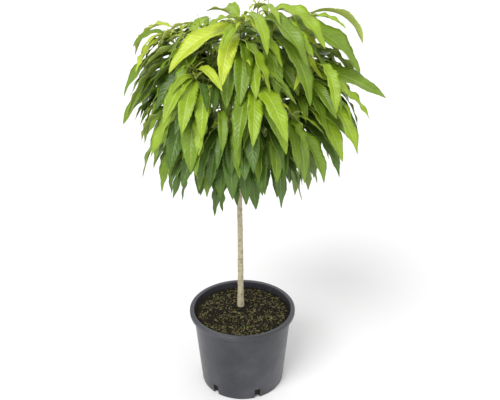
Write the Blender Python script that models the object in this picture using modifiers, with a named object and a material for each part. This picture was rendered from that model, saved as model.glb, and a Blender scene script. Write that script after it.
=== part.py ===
"""A potted dwarf peach tree: a straight stem, grafted at its top with many leafy shoots, in a nursery pot.

Run it with blender --background --python part.py, or from Blender's text editor. It needs no other file.
Units are metres and +Z is up. The origin is the middle of the pot's flat underside, and -Y is the front.
The pot, the soil, the trunk and each bough are one object each. So is each mass of leaves, which is a stem
with side twigs and leaves that branch from it by a seeded rule.
"""

import math
import random
from collections import namedtuple

import bmesh
import bpy
from mathutils import Quaternion, Vector
from mathutils.bvhtree import BVHTree

# Gap between two pieces that touch, because a mesh holds 32-bit numbers
GAP = 0.0003
CLEARANCE = 0.0004
MERGE = 0.00001
UP = Vector((0, 0, 1))

# The pot
RIM_RADIUS = 0.130
POT_HEIGHT = 0.203
SHOULDER_RADIUS = 0.1203
FOOT_RADIUS = 0.1028
WALL = 0.0020
FLOOR = 0.0030
LIP_DROP = 0.010
LIP_ROUND = 0.0020
HEEL = 0.006
POT_SIDES = 48
SLOTS = 6
SLOT_WIDTH = 0.0145
SLOT_TOP = 0.027
SLOT_DEPTH = 0.012
FIRST_SLOT = math.radians(-69)

# The soil, which fills the pot to a little under its rim, and is flat round the trunk's foot
SOIL_EDGE = 0.189
SOIL_TOP = 0.1955
SOIL_FLAT_RADIUS = 0.040

# The trunk stands a little behind the middle of the pot. Its radius changes from the root flare at the soil,
# up the long clean stem, to the swelling of the graft: each pair is a share of its height and a radius.
TRUNK_X = -0.0045
TRUNK_Y = 0.018
TRUNK_TOP = 0.612
TRUNK_SWAY = 0.0015
TRUNK_RADII = (
    (0.000, 0.0092), (0.040, 0.0084), (0.100, 0.0073), (0.200, 0.0067), (0.420, 0.0064),
    (0.660, 0.0061), (0.860, 0.0063), (0.925, 0.0108), (0.970, 0.0112), (1.000, 0.0108),
)
TRUNK_ROUND = 4

# The shoots spring from the graft in three rings. A low one starts as a leafy stem at the trunk's side, and
# the others are bare boughs that end where they enter their leaves. Four stand on the trunk's flat top, each
# at its own distance from the middle, and the rest leave the trunk's side at their ring's height.
Ring = namedtuple("Ring", "start bare leafy thick arch rise fall bend length gather skirt_out skirt_drop")
RINGS = {
    "low": Ring(0.5850, 0.0, 0.46, 0.0026, 0.55, 5, -86, 2.6, 0.145, 0.70, 0.080, 0.140),
    "middle": Ring(0.5960, 0.36, 0.03, 0.0030, 0.55, 18, -72, 2.0, 0.172, 0.60, 0.130, 0.130),
    "top": Ring(0.6070, 0.30, 0.03, 0.0030, 0.75, 26, -66, 1.7, 0.172, 0.30, 0.140, 0.100),
    "centre": Ring(TRUNK_TOP, 0.36, 0.25, 0.0030, 0.90, 34, -44, 1.3, 0.135, 0.05, 0.060, 0.010),
}
ON_TOP = {"crown_middle": 0.0, "crown_leader": 0.0072, "crown_left": 0.0072, "crown_back": 0.0072}
COLLAR = 0.004
LEAD_UP = 0.25
LEAD_OUT = 0.38
ARCH_FROM_TIP = 0.35
TIP_RADIUS = 0.0013
BOUGH_POINTS = 4
BOUGH_ROUND = 1
LIMB_SIDES = 8
STEM_POINTS = 5
SHOOT_STEPS = 24
SHORTEST_SHOOT = 0.24

# Each shoot's tip: its bearing from the trunk in degrees, with 0 to the right and 270 to the front, how far
# out it reaches and how high it is, then how many leaves it tries to bear
Shoot = namedtuple("Shoot", "name ring bearing reach height leaves")
SHOOTS = (
    Shoot("front", "low", 262, 0.150, 0.725, 18),
    Shoot("front_right", "low", 315, 0.150, 0.725, 18),
    Shoot("right", "low", 14, 0.155, 0.720, 17),
    Shoot("back", "low", 84, 0.150, 0.720, 16),
    Shoot("back_left", "low", 146, 0.150, 0.720, 16),
    Shoot("left", "low", 206, 0.155, 0.725, 17),
    Shoot("upper_front_left", "middle", 236, 0.150, 0.805, 26),
    Shoot("upper_front", "middle", 285, 0.125, 0.815, 28),
    Shoot("upper_right", "middle", 342, 0.165, 0.805, 22),
    Shoot("upper_back_right", "middle", 42, 0.160, 0.800, 22),
    Shoot("upper_back", "middle", 108, 0.160, 0.800, 22),
    Shoot("upper_left", "middle", 178, 0.145, 0.862, 24),
    Shoot("crown_leader", "top", 335, 0.066, 0.912, 28),
    Shoot("crown_right", "top", 8, 0.138, 0.876, 22),
    Shoot("crown_front", "top", 281, 0.060, 0.900, 28),
    Shoot("crown_left", "top", 214, 0.085, 0.866, 24),
    Shoot("crown_back_left", "top", 144, 0.085, 0.866, 22),
    Shoot("crown_back", "top", 72, 0.085, 0.870, 22),
    Shoot("crown_middle", "centre", 100, 0.014, 0.884, 22),
)

# The long outer leaves that give the crown its outline. Each springs from a share of its shoot's length.
# Angles are in degrees and the length in metres.
Leading = namedtuple("Leading", "shoot share heading rise fall bend roll length")
LEADING_LEAVES = (
    Leading("crown_front", 0.98, 203, 12, -54, 1.3, -30, 0.190),
    Leading("crown_front", 0.74, 252, 15, -75, 1.6, 0, 0.165),
    Leading("crown_leader", 0.93, 352, 18, -58, 1.3, 28, 0.240),
    Leading("crown_leader", 0.84, 285, 20, -75, 1.5, 0, 0.175),
    Leading("crown_leader", 0.89, 310, 10, -80, 1.3, 0, 0.215),
    Leading("crown_leader", 0.99, 345, 62, -80, 1.1, 0, 0.085),
    Leading("crown_leader", 0.98, 272, 35, -84, 1.6, 0, 0.095),
    Leading("crown_middle", 0.97, 100, 40, -62, 1.3, 0, 0.130),
    Leading("crown_middle", 0.93, 35, 32, -66, 1.3, 0, 0.135),
    Leading("crown_middle", 0.90, 165, 30, -66, 1.3, 0, 0.140),
    Leading("crown_middle", 0.86, 65, 18, -72, 1.4, 0, 0.145),
    Leading("crown_middle", 0.84, 128, 18, -72, 1.4, 0, 0.145),
    Leading("crown_middle", 0.80, 0, 15, -74, 1.4, 0, 0.140),
    Leading("crown_middle", 0.82, 205, 15, -74, 1.4, 0, 0.140),
    Leading("crown_right", 0.76, 335, 0, -28, 1.0, 22, 0.220),
    Leading("crown_back_left", 0.97, 190, 22, -60, 1.2, 0, 0.140),
    Leading("upper_right", 0.90, 315, -10, -68, 1.2, 0, 0.200),
    Leading("upper_right", 0.96, 338, -5, -55, 1.2, 0, 0.160),
    Leading("upper_left", 0.78, 200, -10, -62, 1.2, -20, 0.195),
    Leading("upper_left", 0.87, 195, 8, -68, 1.2, -15, 0.165),
    Leading("upper_left", 0.95, 168, 30, -75, 1.5, -10, 0.120),
)

# A blade's outline: a thin stalk, then a lance whose widest place is before its middle, drawn out to a point
LEAF_ASPECT = 0.235
LEAF_THICKNESS = 0.012
PETIOLE = 0.07
BLADE_LEAN = 0.9
BLADE_FULLNESS = 0.85
POINT_FROM = 0.7
POINT_FINENESS = 0.45
LEAF_STATIONS = (0.0, 0.24, 0.60)
MIDRIB_STEPS = 24
LEAF_MIDDLE = MIDRIB_STEPS * 3 // 5

# How the leaves of a mass differ from each other. A pair is the least and the most share of the usual value,
# and a spread or a range is in degrees. The youngest leaves, at a twig's end, are shorter and stand up more.
GATHER_SHARES = (0.6, 1.2)
LENGTH_SHARES = (0.86, 1.12)
WIDTH_SHARES = (0.9, 1.08)
BEND_SHARES = (0.75, 1.25)
RISE_SPREAD = 15
FALL_RANGE = (-4, 16)
LEAST_FALL = -20
SWEEP_SPREAD = 25
ROLL_SPREAD = 22
TWIST_SPREAD = 30
YOUNG_FROM = 0.75
YOUNG_SHORTER = 0.50
YOUNG_NARROWER = 0.2
YOUNG_RISE = 35
YOUNG_FALL = 30

# Leaves leave their stem and twigs in a spiral. Each is put in the freest of a few places that it may take.
SEED = 11
GOLDEN_ANGLE = math.radians(137.5)
RETRY_TURN = math.radians(47)
LEAF_TRIES = 32
CHOICES = 4
FIRST_LEAF = 0.6
LAST_LEAF = 0.99

# A mass keeps to the space round its own spine, and may go this much nearer to a neighbour's than to its own
OWN_SPACE_SLACK = 0.042
SPACE_STEP = 4
SPINE_POINTS = 8
SHOULDER_OUT = 0.7
SHOULDER_DROP = 0.15

# Side twigs of a mass's stem
TWIGS = 2
TWIG_RADII = (0.00168, 0.0014, 0.00098)
TWIG_SIDES = 3
FIRST_TWIG = 0.30
TWIG_SPACING = 0.28
TWIG_TURN = (35, 60)
TWIG_SHARES = (0.40, 0.55)
TWIG_LIFT = 0.35
TWIG_LEAFY = 0.10
STEM_SHARE = 0.62

Leaf = namedtuple("Leaf", "root heading rise fall bend sweep roll twist length width")
Branch = namedtuple("Branch", "line leafy share")
Mass = namedtuple("Mass", "shoot rng shapes branches")

# Colours: red, green, blue, then roughness
FINISHES = {
    "pot_plastic": (0.085, 0.085, 0.100, 0.45),
    "soil": (0.060, 0.045, 0.025, 0.95),
    "bark": (0.420, 0.370, 0.240, 0.80),
    "green_bark": (0.260, 0.280, 0.110, 0.70),
    "leaf_low": (0.120, 0.260, 0.045, 0.50),
    "leaf_middle": (0.190, 0.370, 0.040, 0.50),
    "leaf_top": (0.300, 0.480, 0.060, 0.50),
    "leaf_centre": (0.300, 0.480, 0.060, 0.50),
}


def clear_scene():
    for thing in list(bpy.data.objects):
        bpy.data.objects.remove(thing, do_unlink=True)


def new_collection(name, hidden=False):
    collection = bpy.data.collections.new(name)
    bpy.context.scene.collection.children.link(collection)
    collection.hide_render = hidden
    return collection


def finish(name):
    """The material of that name, made the first time that it is asked for."""
    found = bpy.data.materials.get(name)
    if found:
        return found
    red, green, blue, roughness = FINISHES[name]
    made = bpy.data.materials.new(name)
    made.use_nodes = True
    shader = made.node_tree.nodes["Principled BSDF"]
    shader.inputs["Base Color"].default_value = (red, green, blue, 1)
    shader.inputs["Roughness"].default_value = roughness
    shader.inputs["Metallic"].default_value = 0
    made.diffuse_color = (red, green, blue, 1)
    return made


def add_object(name, data, collection, material):
    thing = bpy.data.objects.new(name, data)
    collection.objects.link(thing)
    thing.data.materials.append(finish(material))
    return thing


# Turned shapes: the pot and the soil in it


def turned(name, profile, collection, material):
    """A profile of (radius, height) pairs, which runs down the outside, turned about the Z axis."""
    mesh = bpy.data.meshes.new(name)
    edges = [(i, i + 1) for i in range(len(profile) - 1)]
    mesh.from_pydata([(radius, 0, height) for radius, height in profile], edges, [])
    thing = add_object(name, mesh, collection, material)
    screw = thing.modifiers.new("Turn", "SCREW")
    screw.axis = "Z"
    screw.steps = screw.render_steps = POT_SIDES
    screw.use_merge_vertices = True
    screw.merge_threshold = MERGE
    screw.use_smooth_shade = False
    return thing


def wall_radius(height):
    """The outside of the pot's sloping wall at a height."""
    share = height / (POT_HEIGHT - LIP_DROP)
    return FOOT_RADIUS + (SHOULDER_RADIUS - FOOT_RADIUS) * share


def inner_radius(height):
    return wall_radius(height) - WALL


def make_pot(collection, cutters):
    """A thin tapered wall whose top is rolled out and down into a lip, with drain slots at its foot."""
    lip_under = POT_HEIGHT - WALL
    profile = (
        (0, FLOOR),
        (inner_radius(FLOOR) - HEEL, FLOOR),
        (inner_radius(FLOOR + HEEL), FLOOR + HEEL),
        (inner_radius(lip_under), lip_under - LIP_ROUND),
        (inner_radius(lip_under) + LIP_ROUND, POT_HEIGHT),
        (RIM_RADIUS - LIP_ROUND, POT_HEIGHT),
        (RIM_RADIUS, POT_HEIGHT - LIP_ROUND),
        (RIM_RADIUS, POT_HEIGHT - LIP_DROP),
        (RIM_RADIUS - WALL, POT_HEIGHT - LIP_DROP),
        (RIM_RADIUS - WALL, lip_under - LIP_ROUND / 2),
        (RIM_RADIUS - WALL - LIP_ROUND / 2, lip_under),
        (wall_radius(lip_under), lip_under),
        (wall_radius(HEEL), HEEL),
        (wall_radius(0) - HEEL / 4, HEEL / 4),
        (FOOT_RADIUS - HEEL, 0),
        (0, 0),
    )
    pot = turned("pot", profile, collection, "pot_plastic")
    for index in range(SLOTS):
        drain_slot(index, cutters)
    cut = pot.modifiers.new("Drain slots", "BOOLEAN")
    cut.operand_type = "COLLECTION"
    cut.collection = cutters
    cut.operation = "DIFFERENCE"
    cut.solver = "EXACT"
    return pot


def drain_slot(index, cutters):
    """A block that cuts one upright slot through the foot of the wall."""
    bearing = FIRST_SLOT + index * math.tau / SLOTS
    inside = FOOT_RADIUS - SLOT_DEPTH
    outside = SHOULDER_RADIUS
    bpy.ops.mesh.primitive_cube_add(size=1)
    block = bpy.context.object
    block.name = f"slot_cutter_{index + 1}"
    for owner in list(block.users_collection):
        owner.objects.unlink(block)
    cutters.objects.link(block)
    middle = (inside + outside) / 2
    block.location = (middle * math.cos(bearing), middle * math.sin(bearing), 0)
    block.rotation_euler = (0, 0, bearing)
    block.scale = (outside - inside, SLOT_WIDTH, 2 * SLOT_TOP)
    block.hide_render = True
    block.display_type = "WIRE"


def make_soil(collection):
    """The root ball and its soil, the pot's inside less the clearance all round."""
    low = FLOOR + GAP
    profile = (
        (0, SOIL_TOP),
        (SOIL_FLAT_RADIUS, SOIL_TOP),
        (inner_radius(SOIL_EDGE) - GAP, SOIL_EDGE),
        (inner_radius(FLOOR + HEEL) - GAP, FLOOR + HEEL + GAP),
        (inner_radius(FLOOR) - HEEL - GAP, low),
        (0, low),
    )
    return turned("soil", profile, collection, "soil")


# Limbs: the trunk and the boughs are round bars with a radius at each point


def limb(name, points, radii, roundness, collection, material):
    curve = bpy.data.curves.new(name, "CURVE")
    curve.dimensions = "3D"
    curve.twist_mode = "MINIMUM"
    curve.bevel_depth = 1.0
    curve.bevel_resolution = roundness
    curve.use_fill_caps = True
    spline = curve.splines.new("POLY")
    spline.points.add(len(points) - 1)
    for knot, point, radius in zip(spline.points, points, radii):
        knot.co = (*point, 1)
        knot.radius = radius
    return add_object(name, curve, collection, material)


def trunk_centre(height):
    """The middle of the trunk at a height. It sways a little, and is upright at its foot."""
    share = (height - SOIL_TOP) / (TRUNK_TOP - SOIL_TOP)
    sway = TRUNK_SWAY * math.sin(share * math.tau) * share
    return Vector((TRUNK_X + sway, TRUNK_Y - sway, height))


def trunk_radius(height):
    share = (height - SOIL_TOP) / (TRUNK_TOP - SOIL_TOP)
    for (low, low_radius), (high, high_radius) in zip(TRUNK_RADII, TRUNK_RADII[1:]):
        if share <= high:
            return low_radius + (high_radius - low_radius) * (share - low) / (high - low)
    return TRUNK_RADII[-1][1]


def trunk_line():
    """Points up the middle of the trunk, and its radius at each."""
    foot = SOIL_TOP + GAP
    heights = [foot + share * (TRUNK_TOP - foot) for share, radius in TRUNK_RADII]
    return [trunk_centre(height) for height in heights], [radius for share, radius in TRUNK_RADII]


def make_trunk(collection):
    points, radii = trunk_line()
    return limb("trunk", points, radii, TRUNK_ROUND, collection, "bark")


def outward(bearing):
    return Vector((math.cos(bearing), math.sin(bearing), 0))


def shoot_line(shoot, count):
    """Points from the trunk to the shoot's tip: straight off the trunk for a collar's length, then curved."""
    ring = RINGS[shoot.ring]
    out = outward(math.radians(shoot.bearing))
    tip = trunk_centre(TRUNK_TOP) + out * shoot.reach
    tip.z = shoot.height
    if shoot.name in ON_TOP:
        start = trunk_centre(TRUNK_TOP) + out * ON_TOP[shoot.name] + UP * GAP
        collar = start + UP * COLLAR
        first = collar + UP * LEAD_UP * (tip - collar).length
    else:
        start = trunk_centre(ring.start) + out * (trunk_radius(ring.start) + GAP)
        collar = start + out * COLLAR
        first = collar + out * LEAD_OUT * shoot.reach
    second = tip - out.lerp(UP, ring.arch).normalized() * ARCH_FROM_TIP * (tip - collar).length
    line = [start]
    for step in range(count):
        u = step / (count - 1)
        curve = collar * (1 - u) ** 3 + first * 3 * u * (1 - u) ** 2
        line.append(curve + second * 3 * u * u * (1 - u) + tip * u**3)
    return line


def point_along(line, share):
    """The point and the direction at a share of a line's length."""
    lengths = [(b - a).length for a, b in zip(line, line[1:])]
    left = share * sum(lengths)
    for a, b, length in zip(line, line[1:], lengths):
        if left <= length or b is line[-1]:
            return a.lerp(b, left / length), (b - a).normalized()
        left -= length


def shoot_part(shoot, low, high, count):
    """Points and radii of a shoot between two shares of its length, with one point at its collar's end."""
    thick = RINGS[shoot.ring].thick
    line = shoot_line(shoot, SHOOT_STEPS)
    shares = [low + (high - low) * step / (count - 1) for step in range(count)]
    if low == 0:
        length = sum((b - a).length for a, b in zip(line, line[1:]))
        shares.insert(1, COLLAR / length)
    points = [point_along(line, share)[0] for share in shares]
    return points, [thick + (TIP_RADIUS - thick) * share for share in shares]


def bough_line(shoot):
    return shoot_part(shoot, 0, RINGS[shoot.ring].bare, BOUGH_POINTS)


def make_boughs(collection):
    for shoot in SHOOTS:
        if RINGS[shoot.ring].bare:
            limb(f"bough_{shoot.name}", *bough_line(shoot), BOUGH_ROUND, collection, "green_bark")


# Leaves and twigs: lofts between rings of points, for which Blender has no primitive


def loft(rings):
    """Corners and faces of a closed body through rings of equal size, where a ring of one point is a tip."""
    corners = [point for ring in rings for point in ring]
    size = len(rings[0])
    faces = [tuple(reversed(range(size)))]
    low = 0
    for near, far in zip(rings, rings[1:]):
        high = low + size
        middle = sum(near + far, Vector()) / len(near + far)
        for i in range(size):
            j = (i + 1) % size
            if len(far) == 1:
                faces.append((low + i, low + j, high))
            elif bulges(near[i], near[j], far[j], far[i], middle):
                faces += [(low + i, low + j, high + j), (low + i, high + j, high + i)]
            else:
                faces += [(low + i, low + j, high + i), (low + j, high + j, high + i)]
        low = high
    if len(rings[-1]) > 1:
        faces.append(tuple(range(low, low + size)))
    return corners, faces


def bulges(a, b, c, d, middle):
    """True if a twisted face a, b, c, d stands out, and not in, when it is split from a to c.

    A thin blade's upper and lower faces are both split the way that stands out, so they never cross.
    """
    out = (c - a).cross(d - b)
    if out.dot(a + b + c + d - middle * 4) < 0:
        out.negate()
    return out.dot(a + c - b - d) > 0


def body(name, shape, collection, material):
    corners, faces = shape
    mesh = bpy.data.meshes.new(name)
    mesh.from_pydata(corners, [], faces)
    shaped = bmesh.new()
    shaped.from_mesh(mesh)
    bmesh.ops.recalc_face_normals(shaped, faces=shaped.faces)
    shaped.to_mesh(mesh)
    shaped.free()
    return add_object(name, mesh, collection, material)


def tube_shape(points, radii, sides):
    """A tube along points, whose rings turn as little as they can."""
    along = (points[1] - points[0]).normalized()
    side = along.orthogonal().normalized()
    rings = []
    for index, (point, radius) in enumerate(zip(points, radii)):
        following = points[min(index + 1, len(points) - 1)]
        before = points[max(index - 1, 0)] if index else point
        along = (following - before).normalized()
        side = (side - along * side.dot(along)).normalized()
        other = along.cross(side)
        turns = [math.tau * k / sides for k in range(sides)]
        rings.append([point + (side * math.cos(a) + other * math.sin(a)) * radius for a in turns])
    return loft(rings)


def leaf_frame(leaf, t):
    """Directions at a share t of the leaf's length: along its midrib, to its side and out of its top face."""
    pitch = leaf.fall + (leaf.rise - leaf.fall) * (1 - t) ** leaf.bend
    yaw = leaf.heading + leaf.sweep * t
    along = Vector((math.cos(pitch) * math.cos(yaw), math.cos(pitch) * math.sin(yaw), math.sin(pitch)))
    side = Quaternion(along, leaf.roll + leaf.twist * t) @ Vector((-math.sin(yaw), math.cos(yaw), 0))
    return along, side, along.cross(side)


def midrib(leaf):
    """Points from the leaf's root to its tip, a step apart."""
    step = leaf.length / MIDRIB_STEPS
    points = [leaf.root.copy()]
    for index in range(MIDRIB_STEPS):
        along = leaf_frame(leaf, (index + 0.5) / MIDRIB_STEPS)[0]
        points.append(points[-1] + along * step)
    return points


def blade_width(t):
    """Share of the full width at a share t of the leaf's length."""
    v = max(0.0, (t - PETIOLE) / (1 - PETIOLE))
    point = 1 - POINT_FINENESS * max(0.0, (v - POINT_FROM) / (1 - POINT_FROM)) ** 2
    return math.sin(math.pi * v**BLADE_LEAN) ** BLADE_FULLNESS * point


def leaf_shape(leaf):
    """A blade with a flat upper face and a low keel under its midrib, from its stalk's root to its point."""
    line = midrib(leaf)
    thick = leaf.length * LEAF_THICKNESS
    rings = []
    for t in LEAF_STATIONS:
        centre = line[round(t * MIDRIB_STEPS)]
        along, side, up = leaf_frame(leaf, t)
        half = max(thick / 2, leaf.width / 2 * blade_width(t))
        rings.append([centre + side * half, centre - side * half, centre - up * thick])
    rings.append([line[-1]])
    return loft(rings)


def free_part(shape):
    """A leaf or twig without its root, for the test of what it touches in its own mass."""
    corners, faces = shape
    root = len(faces[0])
    return corners, [face for face in faces if min(face) >= root]


def distance_to_line(point, line):
    best = math.inf
    for a, b in zip(line, line[1:]):
        span = b - a
        share = max(0.0, min(1.0, (point - a).dot(span) / span.length_squared))
        best = min(best, (point - a - span * share).length)
    return best


def spine(shoot):
    """The line that a mass is gathered round: its shoot, and the way its leaves hang from the tip."""
    ring = RINGS[shoot.ring]
    line = shoot_line(shoot, SPINE_POINTS)
    away = outward(math.radians(shoot.bearing))
    tip = line[-1]
    shoulder = tip + away * ring.skirt_out * SHOULDER_OUT - UP * ring.skirt_drop * SHOULDER_DROP
    hem = tip + away * ring.skirt_out - UP * ring.skirt_drop
    return line + [shoulder, hem]


SPINES = {shoot.name: spine(shoot) for shoot in SHOOTS}


def in_own_space(points, name):
    """True if every point is nearer to its own mass's spine than to any other's."""
    for point in points:
        own = distance_to_line(point, SPINES[name]) - OWN_SPACE_SLACK
        if any(distance_to_line(point, SPINES[other]) < own for other in SPINES if other != name):
            return False
    return True


def turn_towards(angle, goal, share):
    """An angle turned by a share of the way to another."""
    return angle + share * math.remainder(goal - angle, math.tau)


def grow_leaf(rng, shoot, root, along, spiral, age):
    """One leaf at a place on a twig. age runs from 0 at the twig's foot to 1 at its growing tip."""
    ring = RINGS[shoot.ring]
    side = along.orthogonal().normalized()
    radial = Quaternion(along, spiral) @ side
    away = root - trunk_centre(root.z)
    out = math.atan2(away.y, away.x) if away.xy.length > TRUNK_RADII[0][1] else math.radians(shoot.bearing)
    heading = turn_towards(math.atan2(radial.y, radial.x), out, ring.gather * rng.uniform(*GATHER_SHARES))
    young = max(0.0, (age - YOUNG_FROM) / (1 - YOUNG_FROM))
    length = ring.length * rng.uniform(*LENGTH_SHARES) * (1 - YOUNG_SHORTER * young)
    rise = ring.rise + rng.uniform(-RISE_SPREAD, RISE_SPREAD) + YOUNG_RISE * young
    fall = min(LEAST_FALL, ring.fall + rng.uniform(*FALL_RANGE) + YOUNG_FALL * young)
    return Leaf(
        root=root,
        heading=heading,
        rise=math.radians(rise),
        fall=math.radians(fall),
        bend=ring.bend * rng.uniform(*BEND_SHARES),
        sweep=math.radians(rng.uniform(-SWEEP_SPREAD, SWEEP_SPREAD)),
        roll=math.radians(rng.uniform(-ROLL_SPREAD, ROLL_SPREAD)),
        twist=math.radians(rng.uniform(-TWIST_SPREAD, TWIST_SPREAD)),
        length=length,
        width=length * LEAF_ASPECT * rng.uniform(*WIDTH_SHARES) * (1 - YOUNG_NARROWER * young),
    )


class Crown:
    """What is placed already, mass by mass, so that a new twig or leaf can be tried against it."""

    def __init__(self):
        self.shapes = {}
        self.trees = {}
        self.middles = []

    def add(self, owner, shape):
        corners, faces = shape
        all_corners, all_faces = self.shapes.setdefault(owner, ([], []))
        first = len(all_corners)
        all_corners += corners
        all_faces += [tuple(first + corner for corner in face) for face in faces]
        self.trees[owner] = BVHTree.FromPolygons(all_corners, all_faces, epsilon=CLEARANCE)

    def touches(self, owner, shape):
        """True if the shape meets another mass or a limb, or meets its own mass past its root."""
        whole = BVHTree.FromPolygons(*shape, epsilon=CLEARANCE)
        free = BVHTree.FromPolygons(*free_part(shape), epsilon=CLEARANCE)
        return any(tree.overlap(free if name == owner else whole) for name, tree in self.trees.items())

    def room_round(self, point):
        """How far the nearest leaf's middle is."""
        return min(((point - middle).length for middle in self.middles), default=math.inf)


def place_leading_leaf(entry, mass, crown):
    """One of the leaves that give the crown its outline, unless something is in its way."""
    root, along = point_along(shoot_line(mass.shoot, SHOOT_STEPS), entry.share)
    turns = [math.radians(angle) for angle in (entry.heading, entry.rise, entry.fall)]
    width = entry.length * LEAF_ASPECT
    leaf = Leaf(root, *turns, entry.bend, 0, math.radians(entry.roll), 0, entry.length, width)
    shape = leaf_shape(leaf)
    if not crown.touches(entry.shoot, shape):
        keep_leaf(mass, crown, shape, midrib(leaf))


def keep_leaf(mass, crown, shape, line):
    mass.shapes.append(shape)
    crown.add(mass.shoot.name, shape)
    crown.middles.append(line[LEAF_MIDDLE])


def place_leaf(mass, crown, root, along, index, age):
    """A leaf in the freest of a few places, or none where nothing is free."""
    choices = []
    for attempt in range(LEAF_TRIES):
        spiral = index * GOLDEN_ANGLE + attempt * RETRY_TURN
        leaf = grow_leaf(mass.rng, mass.shoot, root, along, spiral, age)
        line = midrib(leaf)
        if not in_own_space(line[LEAF_MIDDLE // 2 :: SPACE_STEP], mass.shoot.name):
            continue
        shape = leaf_shape(leaf)
        if crown.touches(mass.shoot.name, shape):
            continue
        choices.append((crown.room_round(line[LEAF_MIDDLE]), attempt, shape, line))
        if len(choices) == CHOICES:
            break
    if choices:
        room, attempt, shape, line = max(choices)
        keep_leaf(mass, crown, shape, line)


def start_mass(shoot, crown):
    """A mass with its stem and its side twigs, and no leaf yet."""
    rng = random.Random(f"{SEED} {shoot.name}")
    ring = RINGS[shoot.ring]
    low = ring.bare + GAP / SHORTEST_SHOOT if ring.bare else 0
    points, radii = shoot_part(shoot, low, 1, STEM_POINTS)
    stem = tube_shape(points, radii, TWIG_SIDES)
    crown.add(shoot.name, stem)
    mass = Mass(shoot, rng, [stem], [Branch(points, ring.leafy, STEM_SHARE)])
    for index in range(TWIGS):
        start, along = point_along(points, FIRST_TWIG + TWIG_SPACING * index)
        turn = math.radians(rng.uniform(*TWIG_TURN)) * (-1) ** index
        away = Quaternion(UP, turn) @ along
        length = (points[-1] - points[0]).length * rng.uniform(*TWIG_SHARES)
        lifted = (away + UP * TWIG_LIFT).normalized()
        line = [start, start + away * length / 2, start + lifted * length]
        twig = tube_shape(line, TWIG_RADII, TWIG_SIDES)
        if not crown.touches(shoot.name, twig):
            mass.shapes.append(twig)
            crown.add(shoot.name, twig)
            mass.branches.append(Branch(line, TWIG_LEAFY, (1 - STEM_SHARE) / TWIGS))
    return mass


def fill_mass(mass, crown):
    """The leaves of a mass, along its stem and then along its twigs."""
    for branch in mass.branches:
        count = round(mass.shoot.leaves * branch.share)
        for index in range(count):
            age = (index + FIRST_LEAF) / count
            root, along = point_along(branch.line, branch.leafy + (LAST_LEAF - branch.leafy) * age)
            place_leaf(mass, crown, root, along, index, age)


def keep_largest(mesh):
    """Takes away all but the largest skin: loose scraps, and the skins of hollows that the union sealed."""
    shaped = bmesh.new()
    shaped.from_mesh(mesh)
    left = set(shaped.verts)
    skins = []
    while left:
        skin, edge = set(), [left.pop()]
        while edge:
            vert = edge.pop()
            skin.add(vert)
            fresh = {link.other_vert(vert) for link in vert.link_edges} & left
            left -= fresh
            edge += fresh
        skins.append(skin)
    skins.sort(key=len)
    for skin in skins[:-1]:
        bmesh.ops.delete(shaped, geom=list(skin), context="VERTS")
    shaped.to_mesh(mesh)
    shaped.free()


def join_mass(shoot, shapes, collection):
    """One object from a mass's shapes, by one Boolean union."""
    material = f"leaf_{shoot.ring}"
    name = f"leaves_{shoot.name}"
    extras = new_collection("joined")
    stem = body(name, shapes[0], collection, material)
    for index, shape in enumerate(shapes[1:]):
        body(f"extra_{index}", shape, extras, material)
    union = stem.modifiers.new("Join", "BOOLEAN")
    union.operation = "UNION"
    union.operand_type = "COLLECTION"
    union.collection = extras
    union.solver = "EXACT"
    graph = bpy.context.evaluated_depsgraph_get()
    joined = bpy.data.meshes.new_from_object(stem.evaluated_get(graph))
    keep_largest(joined)
    stem.modifiers.clear()
    stem.data = joined
    for extra in list(extras.objects):
        bpy.data.objects.remove(extra, do_unlink=True)
    bpy.data.collections.remove(extras)
    return stem


def main():
    clear_scene()
    tree = new_collection("potted_peach_tree")
    cutters = new_collection("cutters", hidden=True)
    make_pot(tree, cutters)
    make_soil(tree)
    make_trunk(tree)
    make_boughs(tree)
    crown = Crown()
    crown.add("limbs", tube_shape(*trunk_line(), LIMB_SIDES))
    for shoot in SHOOTS:
        if RINGS[shoot.ring].bare:
            crown.add("limbs", tube_shape(*bough_line(shoot), LIMB_SIDES))
    masses = {shoot.name: start_mass(shoot, crown) for shoot in reversed(SHOOTS)}
    for entry in LEADING_LEAVES:
        place_leading_leaf(entry, masses[entry.shoot], crown)
    for mass in masses.values():
        fill_mass(mass, crown)
        join_mass(mass.shoot, mass.shapes, tree)


if __name__ == "__main__":
    main()
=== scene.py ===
# %% [markdown]
# # A potted dwarf peach tree
#
# The tree is a standard: one straight stem, grafted at its top with a mop of leafy shoots, in a round
# nursery pot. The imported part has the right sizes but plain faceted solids. This lesson dresses it: bark
# with relief, long folded leaves with veins, a smooth pot with a rolled lip, and soil with crumbs, fibres
# and moss. Units are metres, +Z is up, and -Y is the front.

import math
import random
from collections import namedtuple

import bmesh
import bpy
import numpy as np
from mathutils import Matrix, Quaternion, Vector, noise
from mathutils.bvhtree import BVHTree


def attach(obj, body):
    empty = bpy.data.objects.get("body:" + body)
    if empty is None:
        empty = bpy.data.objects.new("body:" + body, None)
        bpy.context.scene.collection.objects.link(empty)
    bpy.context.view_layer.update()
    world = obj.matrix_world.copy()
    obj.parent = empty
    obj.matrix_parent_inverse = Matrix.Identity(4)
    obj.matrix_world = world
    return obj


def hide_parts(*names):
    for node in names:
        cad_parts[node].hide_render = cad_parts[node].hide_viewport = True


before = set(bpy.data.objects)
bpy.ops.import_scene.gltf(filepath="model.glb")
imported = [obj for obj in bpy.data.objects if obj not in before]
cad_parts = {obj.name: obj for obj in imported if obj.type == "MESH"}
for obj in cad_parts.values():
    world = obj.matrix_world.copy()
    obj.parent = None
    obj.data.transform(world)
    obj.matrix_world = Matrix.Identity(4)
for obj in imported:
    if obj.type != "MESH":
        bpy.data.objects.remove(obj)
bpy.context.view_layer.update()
print("CAD nodes:", len(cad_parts))

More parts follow.
